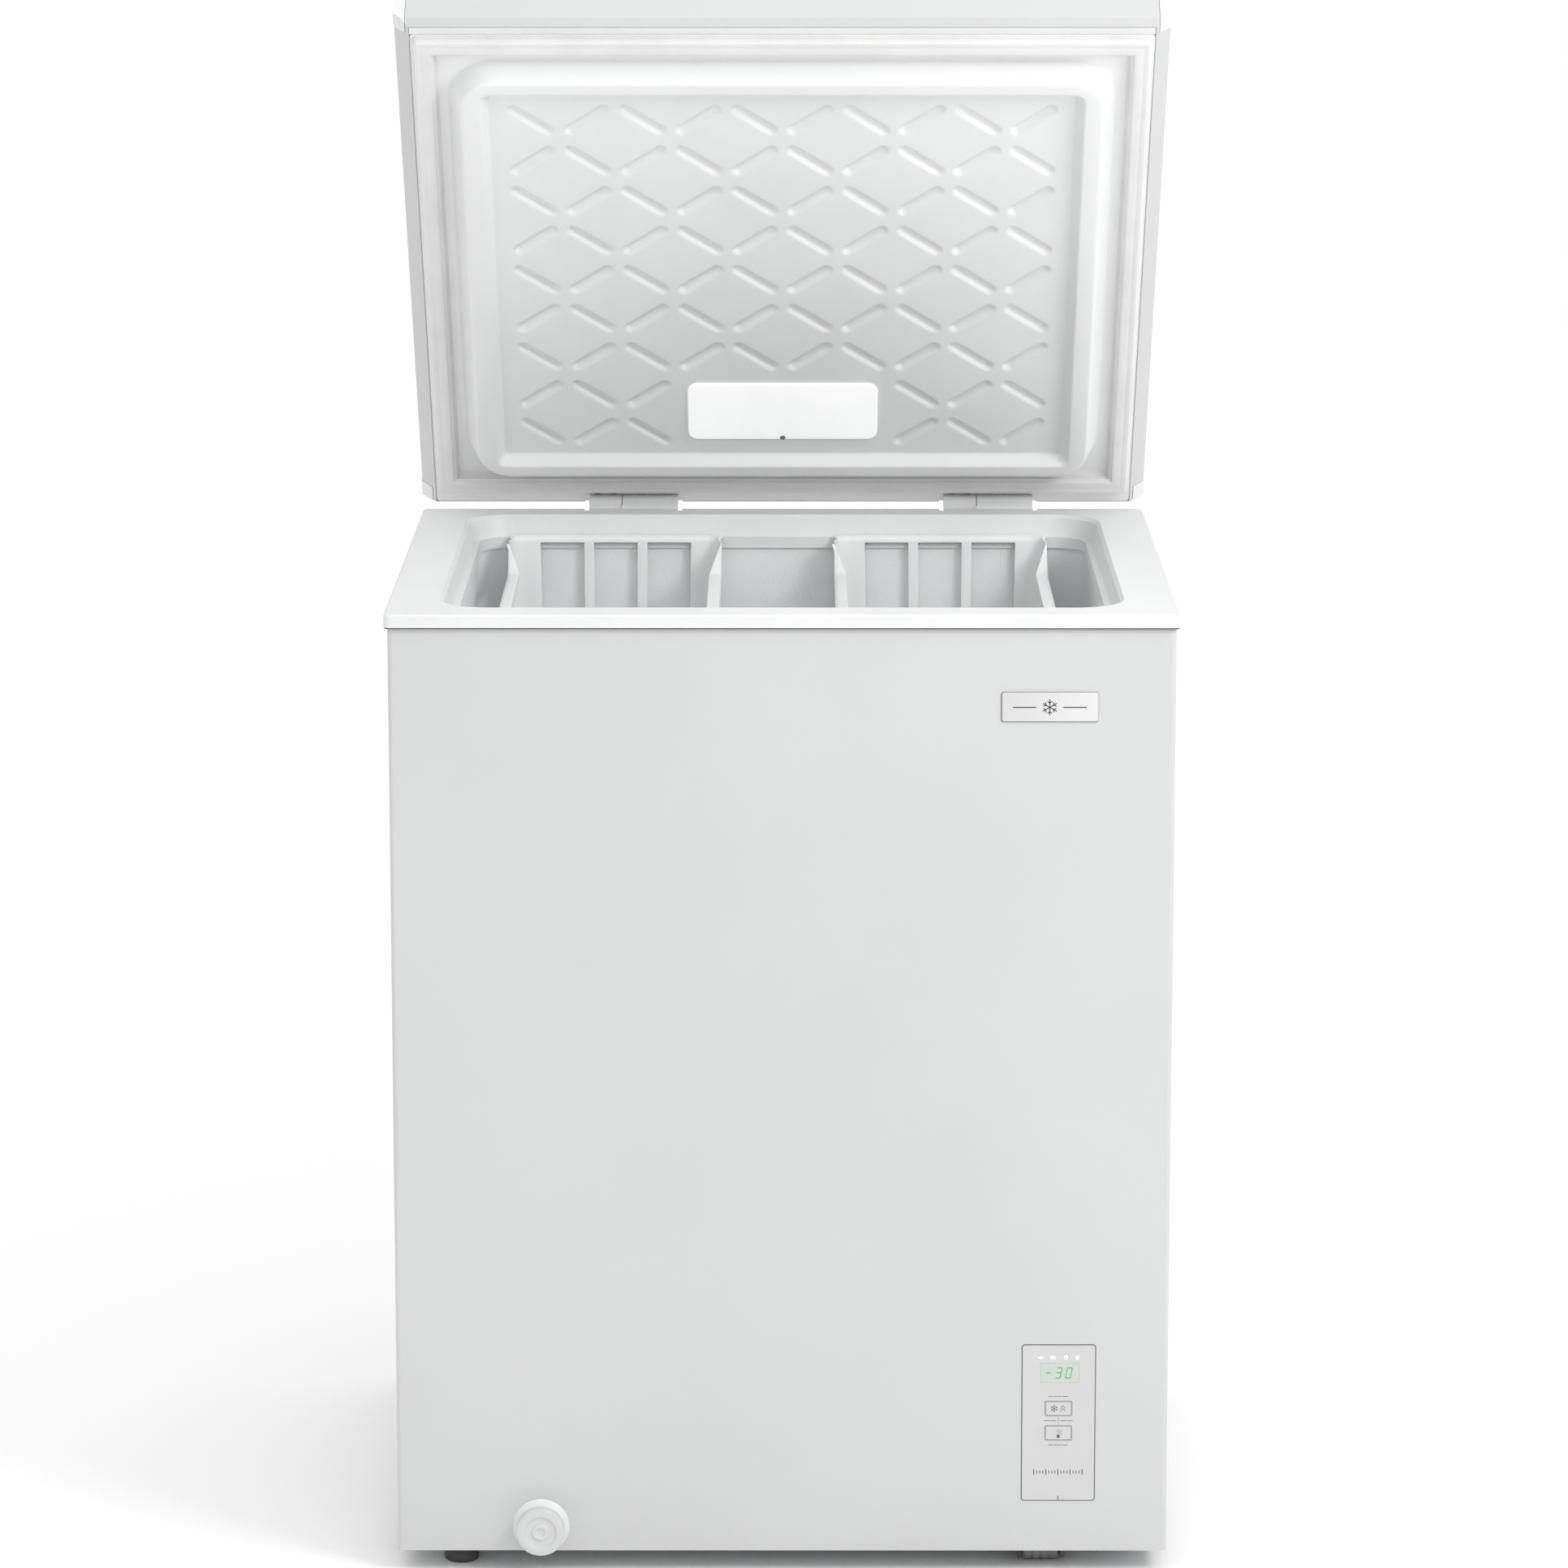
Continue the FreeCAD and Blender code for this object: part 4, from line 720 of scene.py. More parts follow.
class FreezerLidSizes(bpy.types.PropertyGroup):
    """Sizes of the formed liner and the seal."""

    crest_from_side: length("Crest from the side", "From the cabinet's side to the raised frame", 48.53 * MM)
    crest_from_front: length("Crest from the front", "From the cabinet's front to the frame", 37.47 * MM)
    crest_behind_lamp: length("Crest behind the lamp", "From the lamp's back to the frame's back", 37.4 * MM)
    crest_side: length("Crest at the sides", "Width of the raised frame at its sides", 16 * MM)
    crest_end: length("Crest at the ends", "Width of the raised frame in front and behind", 12.5 * MM)
    recess_draft: length("Recess draft", "How far the recess walls lean in", 6.3 * MM)
    base_draft_side: length("Side draft", "How far the raised frame widens at its sides", 11 * MM)
    base_draft_end: length("End draft", "How far the raised frame widens at its ends", 6 * MM)
    crest_corner: length("Crest corner", "Outer corner radius of the raised frame", 28 * MM)
    base_corner: length("Base corner", "Corner radius where the raised frame meets the flange", 38 * MM)
    recess_corner: length("Recess corner", "Corner radius of the recess", 4.5 * MM)
    edge_round: length("Edge round", "Rounding of the raised frame's edges", 3 * MM)
    groove_width: length("Groove width", "Width of a pressed groove", 10.5 * MM)
    groove_depth: length("Groove depth", "Depth of a pressed groove", 3.4 * MM)
    groove_across: length("Groove reach across", "Length of a groove along X", 28 * MM)
    groove_along: length("Groove reach along", "Length of a groove along the lid", 22 * MM)
    pitch_across: length("Groove pitch across", "Distance between groove columns", 46 * MM)
    pitch_along: length("Groove pitch along", "Distance between groove rows", 44.4 * MM)
    first_row: length("First row", "From the recess's front edge to the first row", 28.5 * MM)
    columns: IntProperty(name="Columns", description="Columns of grooves", default=10, min=1)
    rows: IntProperty(name="Rows", description="Rows of grooves", default=9, min=1)
    seal_width: length("Seal width", "Width of the seal", 19.8 * MM)


class FreezerBasketSizes(bpy.types.PropertyGroup):
    """Sizes of the hanging baskets."""

    wall: length("Wall", "Wall thickness", 2.4 * MM)
    corner: length("Corner", "Corner radius", 14 * MM)
    draft: length("Draft", "How far the walls lean in to the bottom", 4 * MM)
    side_drop: length("Side drop", "How much lower the side rails are than the ends", 24 * MM)
    rail: length("Rail", "Width of the side rails", 10.4 * MM)
    slot: length("Slot", "Width of an end wall's slot", 38 * MM)
    bar: length("Bar", "Width of a bar between end slots", 8.5 * MM)
    slot_top: length("Above slots", "From the basket's top to its slots", 10 * MM)
    slot_bottom: length("Below slots", "From the basket's bottom to its slots", 28 * MM)
    slot_corner: length("Slot corner", "Corner radius of a slot", 5 * MM)
    side_slots: IntProperty(name="Side slots", description="Slots in each side wall", default=9, min=1)
    side_bar: length("Side bar", "Width of a bar between side slots", 12 * MM)


class FreezerStudio(bpy.types.PropertyGroup):
    """Camera and lights."""

    distance: length("Distance", "From the rim's front edge to the camera, along Y", 4.5874)
    aside: FloatProperty(name="Aside", description="Camera's place along X", default=0.0064, unit="LENGTH")
    height: length("Height", "Camera's height", 1.614)
    pitch: turn("Pitch", "How far down the camera looks", 10.44)
    yaw: turn("Yaw", "How far to the right the camera looks", -0.06)
    lens: FloatProperty(name="Lens", description="Focal length on a 36 mm sensor", default=135.72, min=1.0)
    shift: FloatProperty(name="Shift", description="Vertical lens shift", default=-0.09)
    key_power: strength("Key light", "Power of the key light in watts", 22.0)
    fill_power: strength("Fill light", "Power of the fill light in watts", 7.5)
    horizon: strength("Horizon", "Strength of the soft light from the horizon", 0.42)
    overhead: strength("Overhead", "Strength of the soft light from above", 1.3)


# Pieces

def lid_areas(sizes):
    """Levels and areas of the lid's liner with the lid shut.

    An area is its half width, front and back. The crest stands in from the cabinet's sides and
    front, and the base, the recess's mouth and its floor follow by widths and drafts.
    """
    liner_low, liner_high = closed_box("lid_liner")
    lamp_high = closed_box("lamp_cover")[1]
    shell_low, shell_high = box("outer_shell")
    levels = {"crest": liner_low[2], "recess": lamp_high[2], "flange": closed_box("lid_gasket")[1][2],
              "back": liner_high[2]}
    crest = np.array([shell_high[0] - sizes.crest_from_side, shell_low[1] + sizes.crest_from_front,
                      lamp_high[1] + sizes.crest_behind_lamp])
    side, end, lean = sizes.base_draft_side, sizes.base_draft_end, sizes.recess_draft
    mouth = crest + (-sizes.crest_side, sizes.crest_end, -sizes.crest_end)
    areas = {"flange": np.array([liner_high[0], liner_low[1], liner_high[1]]), "crest": crest,
             "base": crest + (side, -end, end), "mouth": mouth, "floor": mouth + (-lean, lean, -lean)}
    return levels, areas


def groove_depth_at(x, y, sizes, floor):
    """How deep the pressed grooves are at each place.

    Each groove is a short slanting line. Its depth is a smooth step of the distance to the nearest
    line, from the middle of the groove to half its width. Rows and columns alternate in slant, and
    the lamp's place has none.
    """
    depth = np.zeros_like(x)
    half_width = sizes.groove_width / 2
    flank = 0.65 * half_width
    reach = 30 * MM
    lamp_low, lamp_high = closed_box("lamp_cover")
    clear_x, clear_y = lamp_high[0] + 15 * MM, lamp_low[1] - 14 * MM
    for row in range(sizes.rows):
        middle_y = floor[1] + sizes.first_row + row * sizes.pitch_along
        for column in range(sizes.columns):
            middle_x = (column - (sizes.columns - 1) / 2) * sizes.pitch_across
            if abs(middle_x) < clear_x and middle_y > clear_y:
                continue
            slant = 1 if (row + column) % 2 == 0 else -1
            along = np.array([sizes.groove_across * slant, sizes.groove_along]) / 2
            near = (np.abs(x - middle_x) < reach) & (np.abs(y - middle_y) < reach)
            dx, dy = x[near] - middle_x, y[near] - middle_y
            share = np.clip((dx * along[0] + dy * along[1]) / (along @ along), -1, 1)
            away = np.hypot(dx - share * along[0], dy - share * along[1])
            step = np.clip((half_width - away) / flank, 0, 1)
            depth[near] = np.maximum(depth[near], sizes.groove_depth * step * step * (3 - 2 * step))
    return depth


class FREEZER_OT_lid_liner(bpy.types.Operator):
    """Form the lid's liner: flange, raised frame, and recess with its lattice of pressed grooves"""

    bl_idname = "freezer.lid_liner"
    bl_label = "Lid liner"

    def execute(self, context):
        sizes = context.scene.freezer_lid
        levels, areas = lid_areas(sizes)
        floor, edge = areas["floor"], sizes.edge_round
        wall, margin = 2 * MM, 3 * MM
        flange_corner, grid_corner, recess_corner = 3 * MM, 2.5 * MM, sizes.recess_corner
        grid_area = floor - (margin, -margin, margin)
        stations = [
            (*areas["flange"], flange_corner, levels["flange"]),
            (*areas["base"], sizes.base_corner, levels["flange"]),
            (*areas["crest"], sizes.crest_corner, levels["crest"]),
            (*areas["mouth"], recess_corner + 3 * MM, levels["crest"]),
            (*floor, recess_corner, levels["recess"]),
            (*grid_area, grid_corner, levels["recess"]),
        ]
        front = bent_stations(stations, (2.5 * MM, edge, edge * 0.6, 2 * MM))
        deep = levels["recess"] + 3 * wall
        thick = np.array([wall, -wall, wall])
        point, middle_y = 1e-6, floor[1] + 0.2
        behind = [
            (point, middle_y, middle_y + point, 0, deep),
            (*(floor + thick), recess_corner, deep),
            (*(areas["mouth"] + thick), recess_corner + wall, levels["crest"] + wall),
            (*(areas["crest"] - thick), sizes.crest_corner - wall, levels["crest"] + wall),
            (*(areas["base"] - thick), sizes.base_corner - wall, levels["flange"] + wall),
            (*areas["flange"], flange_corner, levels["back"]),
            stations[0],
        ]
        across, along = 256, 218
        border = square_border(across, along)
        rings = []
        for half, low, high, radius, level in [*behind, *front[1:]]:
            x, y = rounded_border(half, low, high, radius, border)
            rings.append(np.column_stack([x, y, np.full(len(x), level)]))
        shell = sheet_of(np.stack(rings), closed=True)
        u, v = np.meshgrid(np.linspace(-1, 1, across + 1), np.linspace(-1, 1, along + 1))
        x, y = rounded_border(*grid_area, grid_corner, np.stack([u, v], -1))
        panel = sheet_of(np.stack([x, y, levels["recess"] + groove_depth_at(x, y, sizes, floor)], -1))
        make_lid_piece("lid_liner_formed", merged([shell, panel]), "white_abs", ["lid_liner"], sharp=60)
        return {"FINISHED"}


class FREEZER_OT_lid_foam(bpy.types.Operator):
    """Make the lid's foam, cut back behind the recess so that the pressed grooves have room"""

    bl_idname = "freezer.lid_foam"
    bl_label = "Lid foam"

    def execute(self, context):
        liner_wall, flat = 2 * MM, 0.3 * MM
        shape = bmesh.new()
        shape.from_mesh(frame["nodes"]["lid_foam"].data)
        bmesh.ops.remove_doubles(shape, verts=shape.verts, dist=1e-6)
        mesh = bpy.data.meshes.new("lid_foam_core")
        shape.to_mesh(mesh)
        shape.free()
        corners = np.empty(len(mesh.vertices) * 3)
        mesh.vertices.foreach_get("co", corners)
        points = turned_about_hinge(corners.reshape(-1, 3), -OPEN_ANGLE)
        behind = closed_box("lamp_cover")[1][2] + liner_wall
        points[np.abs(points[:, 2] - behind) < flat, 2] += context.scene.freezer_lid.groove_depth
        mesh.vertices.foreach_set("co", turned_about_hinge(points, OPEN_ANGLE).astype(np.float32).ravel())
        mesh.update()
        mesh.materials.clear()
        mesh.materials.append(FINISHES["foam"])
        piece = bpy.data.objects.new("lid_foam_core", mesh)
        context.scene.collection.objects.link(piece)
        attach(piece, "lid")
        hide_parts("lid_foam")
        return {"FINISHED"}


class FREEZER_OT_seal(bpy.types.Operator):
    """Draw the lid's seal: a magnet bulb with bellows on both flanks, mitred at its corners"""

    bl_idname = "freezer.seal"
    bl_label = "Lid seal"

    def execute(self, context):
        low, high = closed_box("lid_gasket")
        width, height = context.scene.freezer_lid.seal_width, high[2] - low[2]
        corner, least_corner = 5 * MM, 0.3 * MM
        section = np.array([
            (0.0, 1.0), (0.02, 0.86), (0.1, 0.78), (0.02, 0.7), (0.01, 0.62), (0.11, 0.54), (0.03, 0.44),
            (0.02, 0.36), (0.1, 0.28), (0.06, 0.1), (0.14, 0.0), (0.3, 0.02), (0.36, 0.06), (0.42, 0.02),
            (0.64, 0.0), (0.74, 0.04), (0.78, 0.22), (0.88, 0.3), (0.8, 0.38), (0.84, 0.46), (0.93, 0.54),
            (0.85, 0.62), (0.88, 0.7), (0.97, 0.8), (0.93, 0.9), (1.0, 1.0),
        ])
        fine = np.linspace(0, len(section) - 1, 4 * len(section))
        whole = np.arange(len(section))
        curve = np.stack([np.interp(fine, whole, section[:, 0]), np.interp(fine, whole, section[:, 1])], -1)
        for _ in range(2):
            curve[1:-1] = (curve[:-2] + 2 * curve[1:-1] + curve[2:]) / 4
        rings = []
        for inset, level in np.concatenate([curve, curve[:1]]):
            inset = inset * width
            rings.append(ring(high[0] - inset, low[1] + inset, high[1] - inset,
                              max(corner - inset, least_corner), low[2] + level * height, 5))
        seal = sheet_of(np.stack(rings), closed=True)
        make_lid_piece("lid_seal", seal, "seal_vinyl", ["lid_gasket"], sharp=75)
        return {"FINISHED"}


class FREEZER_OT_lamp(bpy.types.Operator):
    """Make the lamp's diffuser: a soft-edged cover, with a dark disc near its back edge as painted shade for a
    finger notch
    """

    bl_idname = "freezer.lamp"
    bl_label = "Lamp cover"

    def execute(self, context):
        low, high = closed_box("lamp_cover")
        middle, half = (low + high) / 2, (high - low) / 2
        corner, edge = 9 * MM, 1.2 * MM
        points, faces = plate(half[0], half[1], corner, 2 * half[2], edge, arc=10, arcs=6)
        points = points * (1, 1, -1) + (middle[0], middle[1], high[2])
        make_lid_piece("lamp_diffuser", (points, faces), "lamp_diffuser", ["lamp_cover"])
        # Painted shade: the finger notch is not a hollow but a dark disc set level with the cover's face.
        radius, thickness, inset, sunk = 2.5 * MM, 0.3 * MM, 2.2 * MM, 0.25 * MM
        points, faces = disc(radius, thickness, 32)
        points = points * (1, 1, -1) + (middle[0], high[1] - inset, low[2] + sunk)
        make_lid_piece("lamp_notch_painted_shade", (points, faces), "grey_plastic")
        return {"FINISHED"}


def wall_lines(edges, end, gap):
    """Positions from nought to end that include every edge and are nowhere further apart than the gap."""
    marks = np.unique(np.round(np.concatenate([[0.0, end], edges]), 7))
    marks = marks[(marks >= 0) & (marks <= end)]
    pieces = [np.linspace(a, b, max(1, math.ceil((b - a) / gap - 1e-6)), endpoint=False)
              for a, b in zip(marks, marks[1:])]
    return np.concatenate(pieces + [[end]])


class BasketWalls:
    """A basket's walls as a grid of the distance round the basket and of height.

    Their plan is a round-cornered rectangle that shrinks by the draft towards the bottom. The
    distance starts at the right side's back end, and runs over an arc, the back wall, an arc, the
    left side, an arc, the front wall, an arc and the right side.
    """

    hook_reach = 7.2 * MM
    inward_step = 10 * MM
    foot_height = 6 * MM
    crown_height = 6 * MM

    def __init__(self, low, high, sizes):
        self.sizes = sizes
        self.tall = high[2] - low[2]
        self.rail_z = self.tall - sizes.side_drop
        self.half_x = (high[0] - low[0]) / 2 - 0.75 * sizes.wall
        self.half_y = (high[1] - low[1]) / 2 - self.hook_reach
        self.outer = self.loop(0.0, sizes.corner)
        self.foot = self.loop(sizes.draft, sizes.corner)
        step = self.inward_step
        self.inward = (self.loop(step, sizes.corner - step) - self.outer) / step
        self.run = np.concatenate([[0], np.cumsum(np.hypot(*np.diff(self.outer, axis=0).T))])
        self.arc = sizes.corner * math.pi / 2
        self.end_run = 2 * (self.half_x - sizes.corner)
        self.side_run = 2 * (self.half_y - sizes.corner)
        self.back, self.left, self.front, self.right = np.cumsum(
            [self.arc, self.end_run + self.arc, self.side_run + self.arc, self.end_run + self.arc])

    def loop(self, inset, corner):
        """The plan's outline drawn in by an inset, its last point the first again."""
        path = ring(self.half_x - inset, inset - self.half_y, self.half_y - inset, corner, 0, 24)[:, :2]
        return np.concatenate([path, path[:1]])

    def at(self, loop, place):
        """The values of a loop at distances round the basket."""
        return np.stack([np.interp(place, self.run, loop[:, 0]), np.interp(place, self.run, loop[:, 1])], -1)

    def side_share(self, place):
        """One on the side walls, nought on the ends, changing over the last stretch of each side."""
        share = np.zeros_like(place)
        slope, hook = 30 * MM, 4 * MM
        for start in (self.left, self.right):
            rising = np.clip((place - start - hook) / slope, 0, 1)
            falling = np.clip((start + self.side_run - hook - place) / slope, 0, 1)
            share = np.maximum(share, np.minimum(rising, falling))
        return share * share * (3 - 2 * share)

    def slots(self):
        """Start, end, bottom and top of each slot: three in an end wall and a row in a side wall."""
        sizes, found = self.sizes, []
        bottom, end_top = sizes.slot_bottom, self.tall - sizes.slot_top
        for start in (self.back, self.front):
            for index in (-1, 0, 1):
                centre = start + self.end_run / 2 + index * (sizes.slot + sizes.bar)
                found.append((centre - sizes.slot / 2, centre + sizes.slot / 2, bottom, end_top))
        margin = 10 * MM
        pitch = (self.side_run - 2 * margin) / sizes.side_slots
        for start in (self.left, self.right):
            for index in range(sizes.side_slots):
                begin = start + margin + index * pitch + sizes.side_bar / 2
                found.append((begin, begin + pitch - sizes.side_bar, bottom, end_top - sizes.side_drop))
        return np.array(found)

    def lines(self, slots):
        """Grid lines round the basket and up it, through each slot's edges and its corners' ends."""
        corner = self.sizes.slot_corner
        starts = np.array([self.back, self.left, self.front, self.right])
        arcs = starts[:, None] - self.arc * np.linspace(1, 0, 7)
        around = [slots[:, 0], slots[:, 1], slots[:, 0] + corner, slots[:, 1] - corner, arcs.ravel()]
        up = [slots[:, 2], slots[:, 3], slots[:, 2] + corner, slots[:, 3] - corner,
              [self.foot_height, self.rail_z - self.foot_height]]
        levels = wall_lines(np.concatenate(up), self.tall - self.crown_height, 12 * MM)
        levels = levels[levels > self.foot_height - 1e-9]
        return wall_lines(np.concatenate(around), self.run[-1], 9 * MM), levels

    def walls(self, around, levels, slots):
        """Rows of the walls. Each slot's corners are pulled in to round them, and the rows near the
        top sink over the sides, where the rails are lower."""
        place, height = np.meshgrid(around, levels)
        pull = 0.293 * self.sizes.slot_corner  # one less the cosine of 45 degrees
        for start, end, bottom, top in slots:
            for edge, inward in ((start, 1), (end, -1)):
                for level, up in ((bottom, 1), (top, -1)):
                    at = (np.abs(place - edge) < 1e-6) & (np.abs(height - level) < 1e-6)
                    place = np.where(at, place + pull * inward, place)
                    height = np.where(at, height + pull * up, height)
        sinking = self.rail_z - 13 * MM
        above = np.clip((height - sinking) / (self.tall - sinking - self.crown_height), 0, 1)
        height = height - self.side_share(place) * self.sizes.side_drop * above
        share = (height / self.tall)[..., None]
        flat = self.at(self.outer, place) * share + self.at(self.foot, place) * (1 - share)
        return np.concatenate([flat, height[..., None]], -1)

    def crown(self, around):
        """Rows over the top edge, which turns in over the sides and out over the ledge at the ends."""
        lean = self.side_share(around)
        half_end, hook = self.end_run / 2, 6.8 * MM
        ends = np.zeros(len(around), bool)
        for start in (self.back, self.front):
            ends |= np.abs(around - start - half_end) < half_end + 0.6 * self.arc
        over = self.sizes.rail * lean - hook * ends * (1 - lean)
        top_z = self.tall - self.sizes.side_drop * lean - self.sizes.wall
        rows = []
        for share, sink in ((0.0, 2.0 * MM), (0.08, 0.8 * MM), (0.3, 0.2 * MM), (1.0, 0.0)):
            flat = self.at(self.outer, around) + self.at(self.inward, around) * (over * share)[:, None]
            rows.append(np.column_stack([flat, top_z - sink]))
        rows.append(rows[-1] - lean[:, None] * (0, 0, 4 * MM))
        return np.stack(rows)

    def bottom(self, around):
        """Rows that round the walls into the floor's border."""
        rows = []
        for inset, level in ((12 * MM, 0.0), (5 * MM, 0.0), (1.6 * MM, 1.4 * MM)):
            flat = self.at(self.foot, around) + self.at(self.inward, around) * inset
            rows.append(np.column_stack([flat, np.full(len(around), self.sizes.wall + level)]))
        return np.stack(rows)


def basket_floor(reach_x, reach_y, level):
    """A floor in two panels of six openings each: a grid with the openings' quads left out."""
    openings, margin, bar = 6, 10 * MM, 10 * MM
    pitch = 2 * (reach_x - margin) / openings
    starts = margin - reach_x + pitch * np.arange(openings) + bar / 2
    stops = starts + pitch - bar
    spans = ((20 * MM - reach_y, -8 * MM), (8 * MM, reach_y - 20 * MM))
    across = wall_lines(np.concatenate([starts, stops]) + reach_x, 2 * reach_x, 12 * MM) - reach_x
    along = wall_lines(np.array(spans).ravel() + reach_y, 2 * reach_y, 14 * MM) - reach_y
    x, y = np.meshgrid(across, along)
    points, faces = sheet_of(np.stack([x, y, np.full_like(x, level)], -1), flip=True)
    middle_x, middle_y = (across[:-1] + across[1:]) / 2, (along[:-1] + along[1:]) / 2
    open_x = np.any([(middle_x > start) & (middle_x < stop) for start, stop in zip(starts, stops)], 0)
    open_y = np.any([(middle_y > start) & (middle_y < stop) for start, stop in spans], 0)
    return points, faces[~np.outer(open_y, open_x).ravel()]


def basket_surface(low, high, sizes):
    """A basket as one sheet: walls with slots, turned rails and a slatted floor.

    The rows are the bottom's, the walls' and the crown's, and the quads inside a slot are left out.
    """
    walls = BasketWalls(low, high, sizes)
    slots = walls.slots()
    around, levels = walls.lines(slots)
    bottom, crown = walls.bottom(around), walls.crown(around)
    points, faces = sheet_of(np.concatenate([bottom, walls.walls(around, levels, slots), crown]))
    cell_place = (around[:-1] + around[1:]) / 2
    cell_height = np.full(len(bottom) + len(levels) + len(crown) - 1, -1.0)
    cell_height[len(bottom):len(bottom) + len(levels) - 1] = (levels[:-1] + levels[1:]) / 2
    gone = np.zeros((len(cell_height), len(cell_place)), bool)
    for start, end, under, over in slots:
        gone |= np.outer((cell_height > under) & (cell_height < over),
                         (cell_place > start) & (cell_place < end))
    inset, raised = sizes.draft + 6 * MM, 0.2 * MM
    floor = basket_floor(walls.half_x - inset, walls.half_y - inset, sizes.wall + raised)
    points, faces = merged([(points, faces[~gone.ravel()]), floor])
    middle = (low + high) / 2
    return points + (middle[0], middle[1], low[2]), faces


class FREEZER_OT_rim_painted_shadow(bpy.types.Operator):
    """Lay a dark strip under the rim collar's lip as painted shadow in the joint"""

    bl_idname = "freezer.rim_seal"
    bl_label = "Rim painted shadow"

    def execute(self, context):
        low, high = box("rim_collar")
        back = box("outer_shell")[1][1]
        under_lip, tall, corner = high[2] - 10.5 * MM, 1.0 * MM, 4 * MM
        near, far = 0.9 * MM, 3.6 * MM
        section = ((near, 0.0), (near, tall), (far, tall), (far, 0.0), (near, 0.0))
        rings = [ring(high[0] - inset, low[1] + inset, back, corner, under_lip - drop)
                 for inset, drop in section]
        # Painted shadow: a dark rubber band under the lip, standing for the shade in the joint between the collar
        # and the cabinet.
        make_piece("rim_painted_shadow", sheet_of(np.stack(rings), closed=True), "cabinet", "dark_rubber")
        return {"FINISHED"}


class FREEZER_OT_baskets(bpy.types.Operator):
    """Mould the two hanging baskets with their slotted walls, rails and hooked ends"""

    bl_idname = "freezer.baskets"
    bl_label = "Baskets"

    def execute(self, context):
        sizes = context.scene.freezer_basket
        for name in ("basket_left", "basket_right"):
            low, high = box(name)
            piece = make_piece(name + "_moulded", basket_surface(low, high, sizes), name, "basket_plastic",
                               [name], outward=False, sharp=50)
            solid = piece.modifiers.new("wall", "SOLIDIFY")
            solid.thickness = sizes.wall
            solid.offset = -1
            edges = piece.modifiers.new("edges", "BEVEL")
            edges.width = 0.7 * MM
            edges.segments = 2
            edges.limit_method = "ANGLE"
            edges.angle_limit = math.radians(50)
            edges.harden_normals = False
        return {"FINISHED"}


class FREEZER_OT_drain(bpy.types.Operator):
    """Turn the drain's knob, with its dished face and hub"""

    bl_idname = "freezer.drain"
    bl_label = "Drain knob"

    def execute(self, context):
        low, high = box("drain_cap")
        middle, half = (low + high) / 2, (high - low) / 2
        radius, depth = half[0], 2 * half[1]
        profile = [(0, 0), (radius * 0.96, 0), (radius, 0.6 * MM), (radius, depth - 1.6 * MM),
                   (radius - 0.4 * MM, depth - 0.5 * MM), (radius - 1.4 * MM, depth)]
        dish_and_hub = ((13.4, 0), (12.9, 0.15), (12.5, 0.9), (11.8, 1.2), (7.4, 1.2), (6.9, 1.0),
                        (6.5, 0.35), (6.0, 0.2), (4.2, 0.2), (3.7, 0.4), (3.2, 0.9), (2.4, 1.2), (0, 1.25))
        profile += [(reach * MM, depth - sunk * MM) for reach, sunk in dish_and_hub]
        knob = on_front(turned_shape(profile, 96), middle[0], middle[2], high[1])
        piece = make_piece("drain_knob", knob, "drain_cap", "drain_moulding_painted_shade", ["drain_cap"], sharp=50)
        return {"FINISHED"}


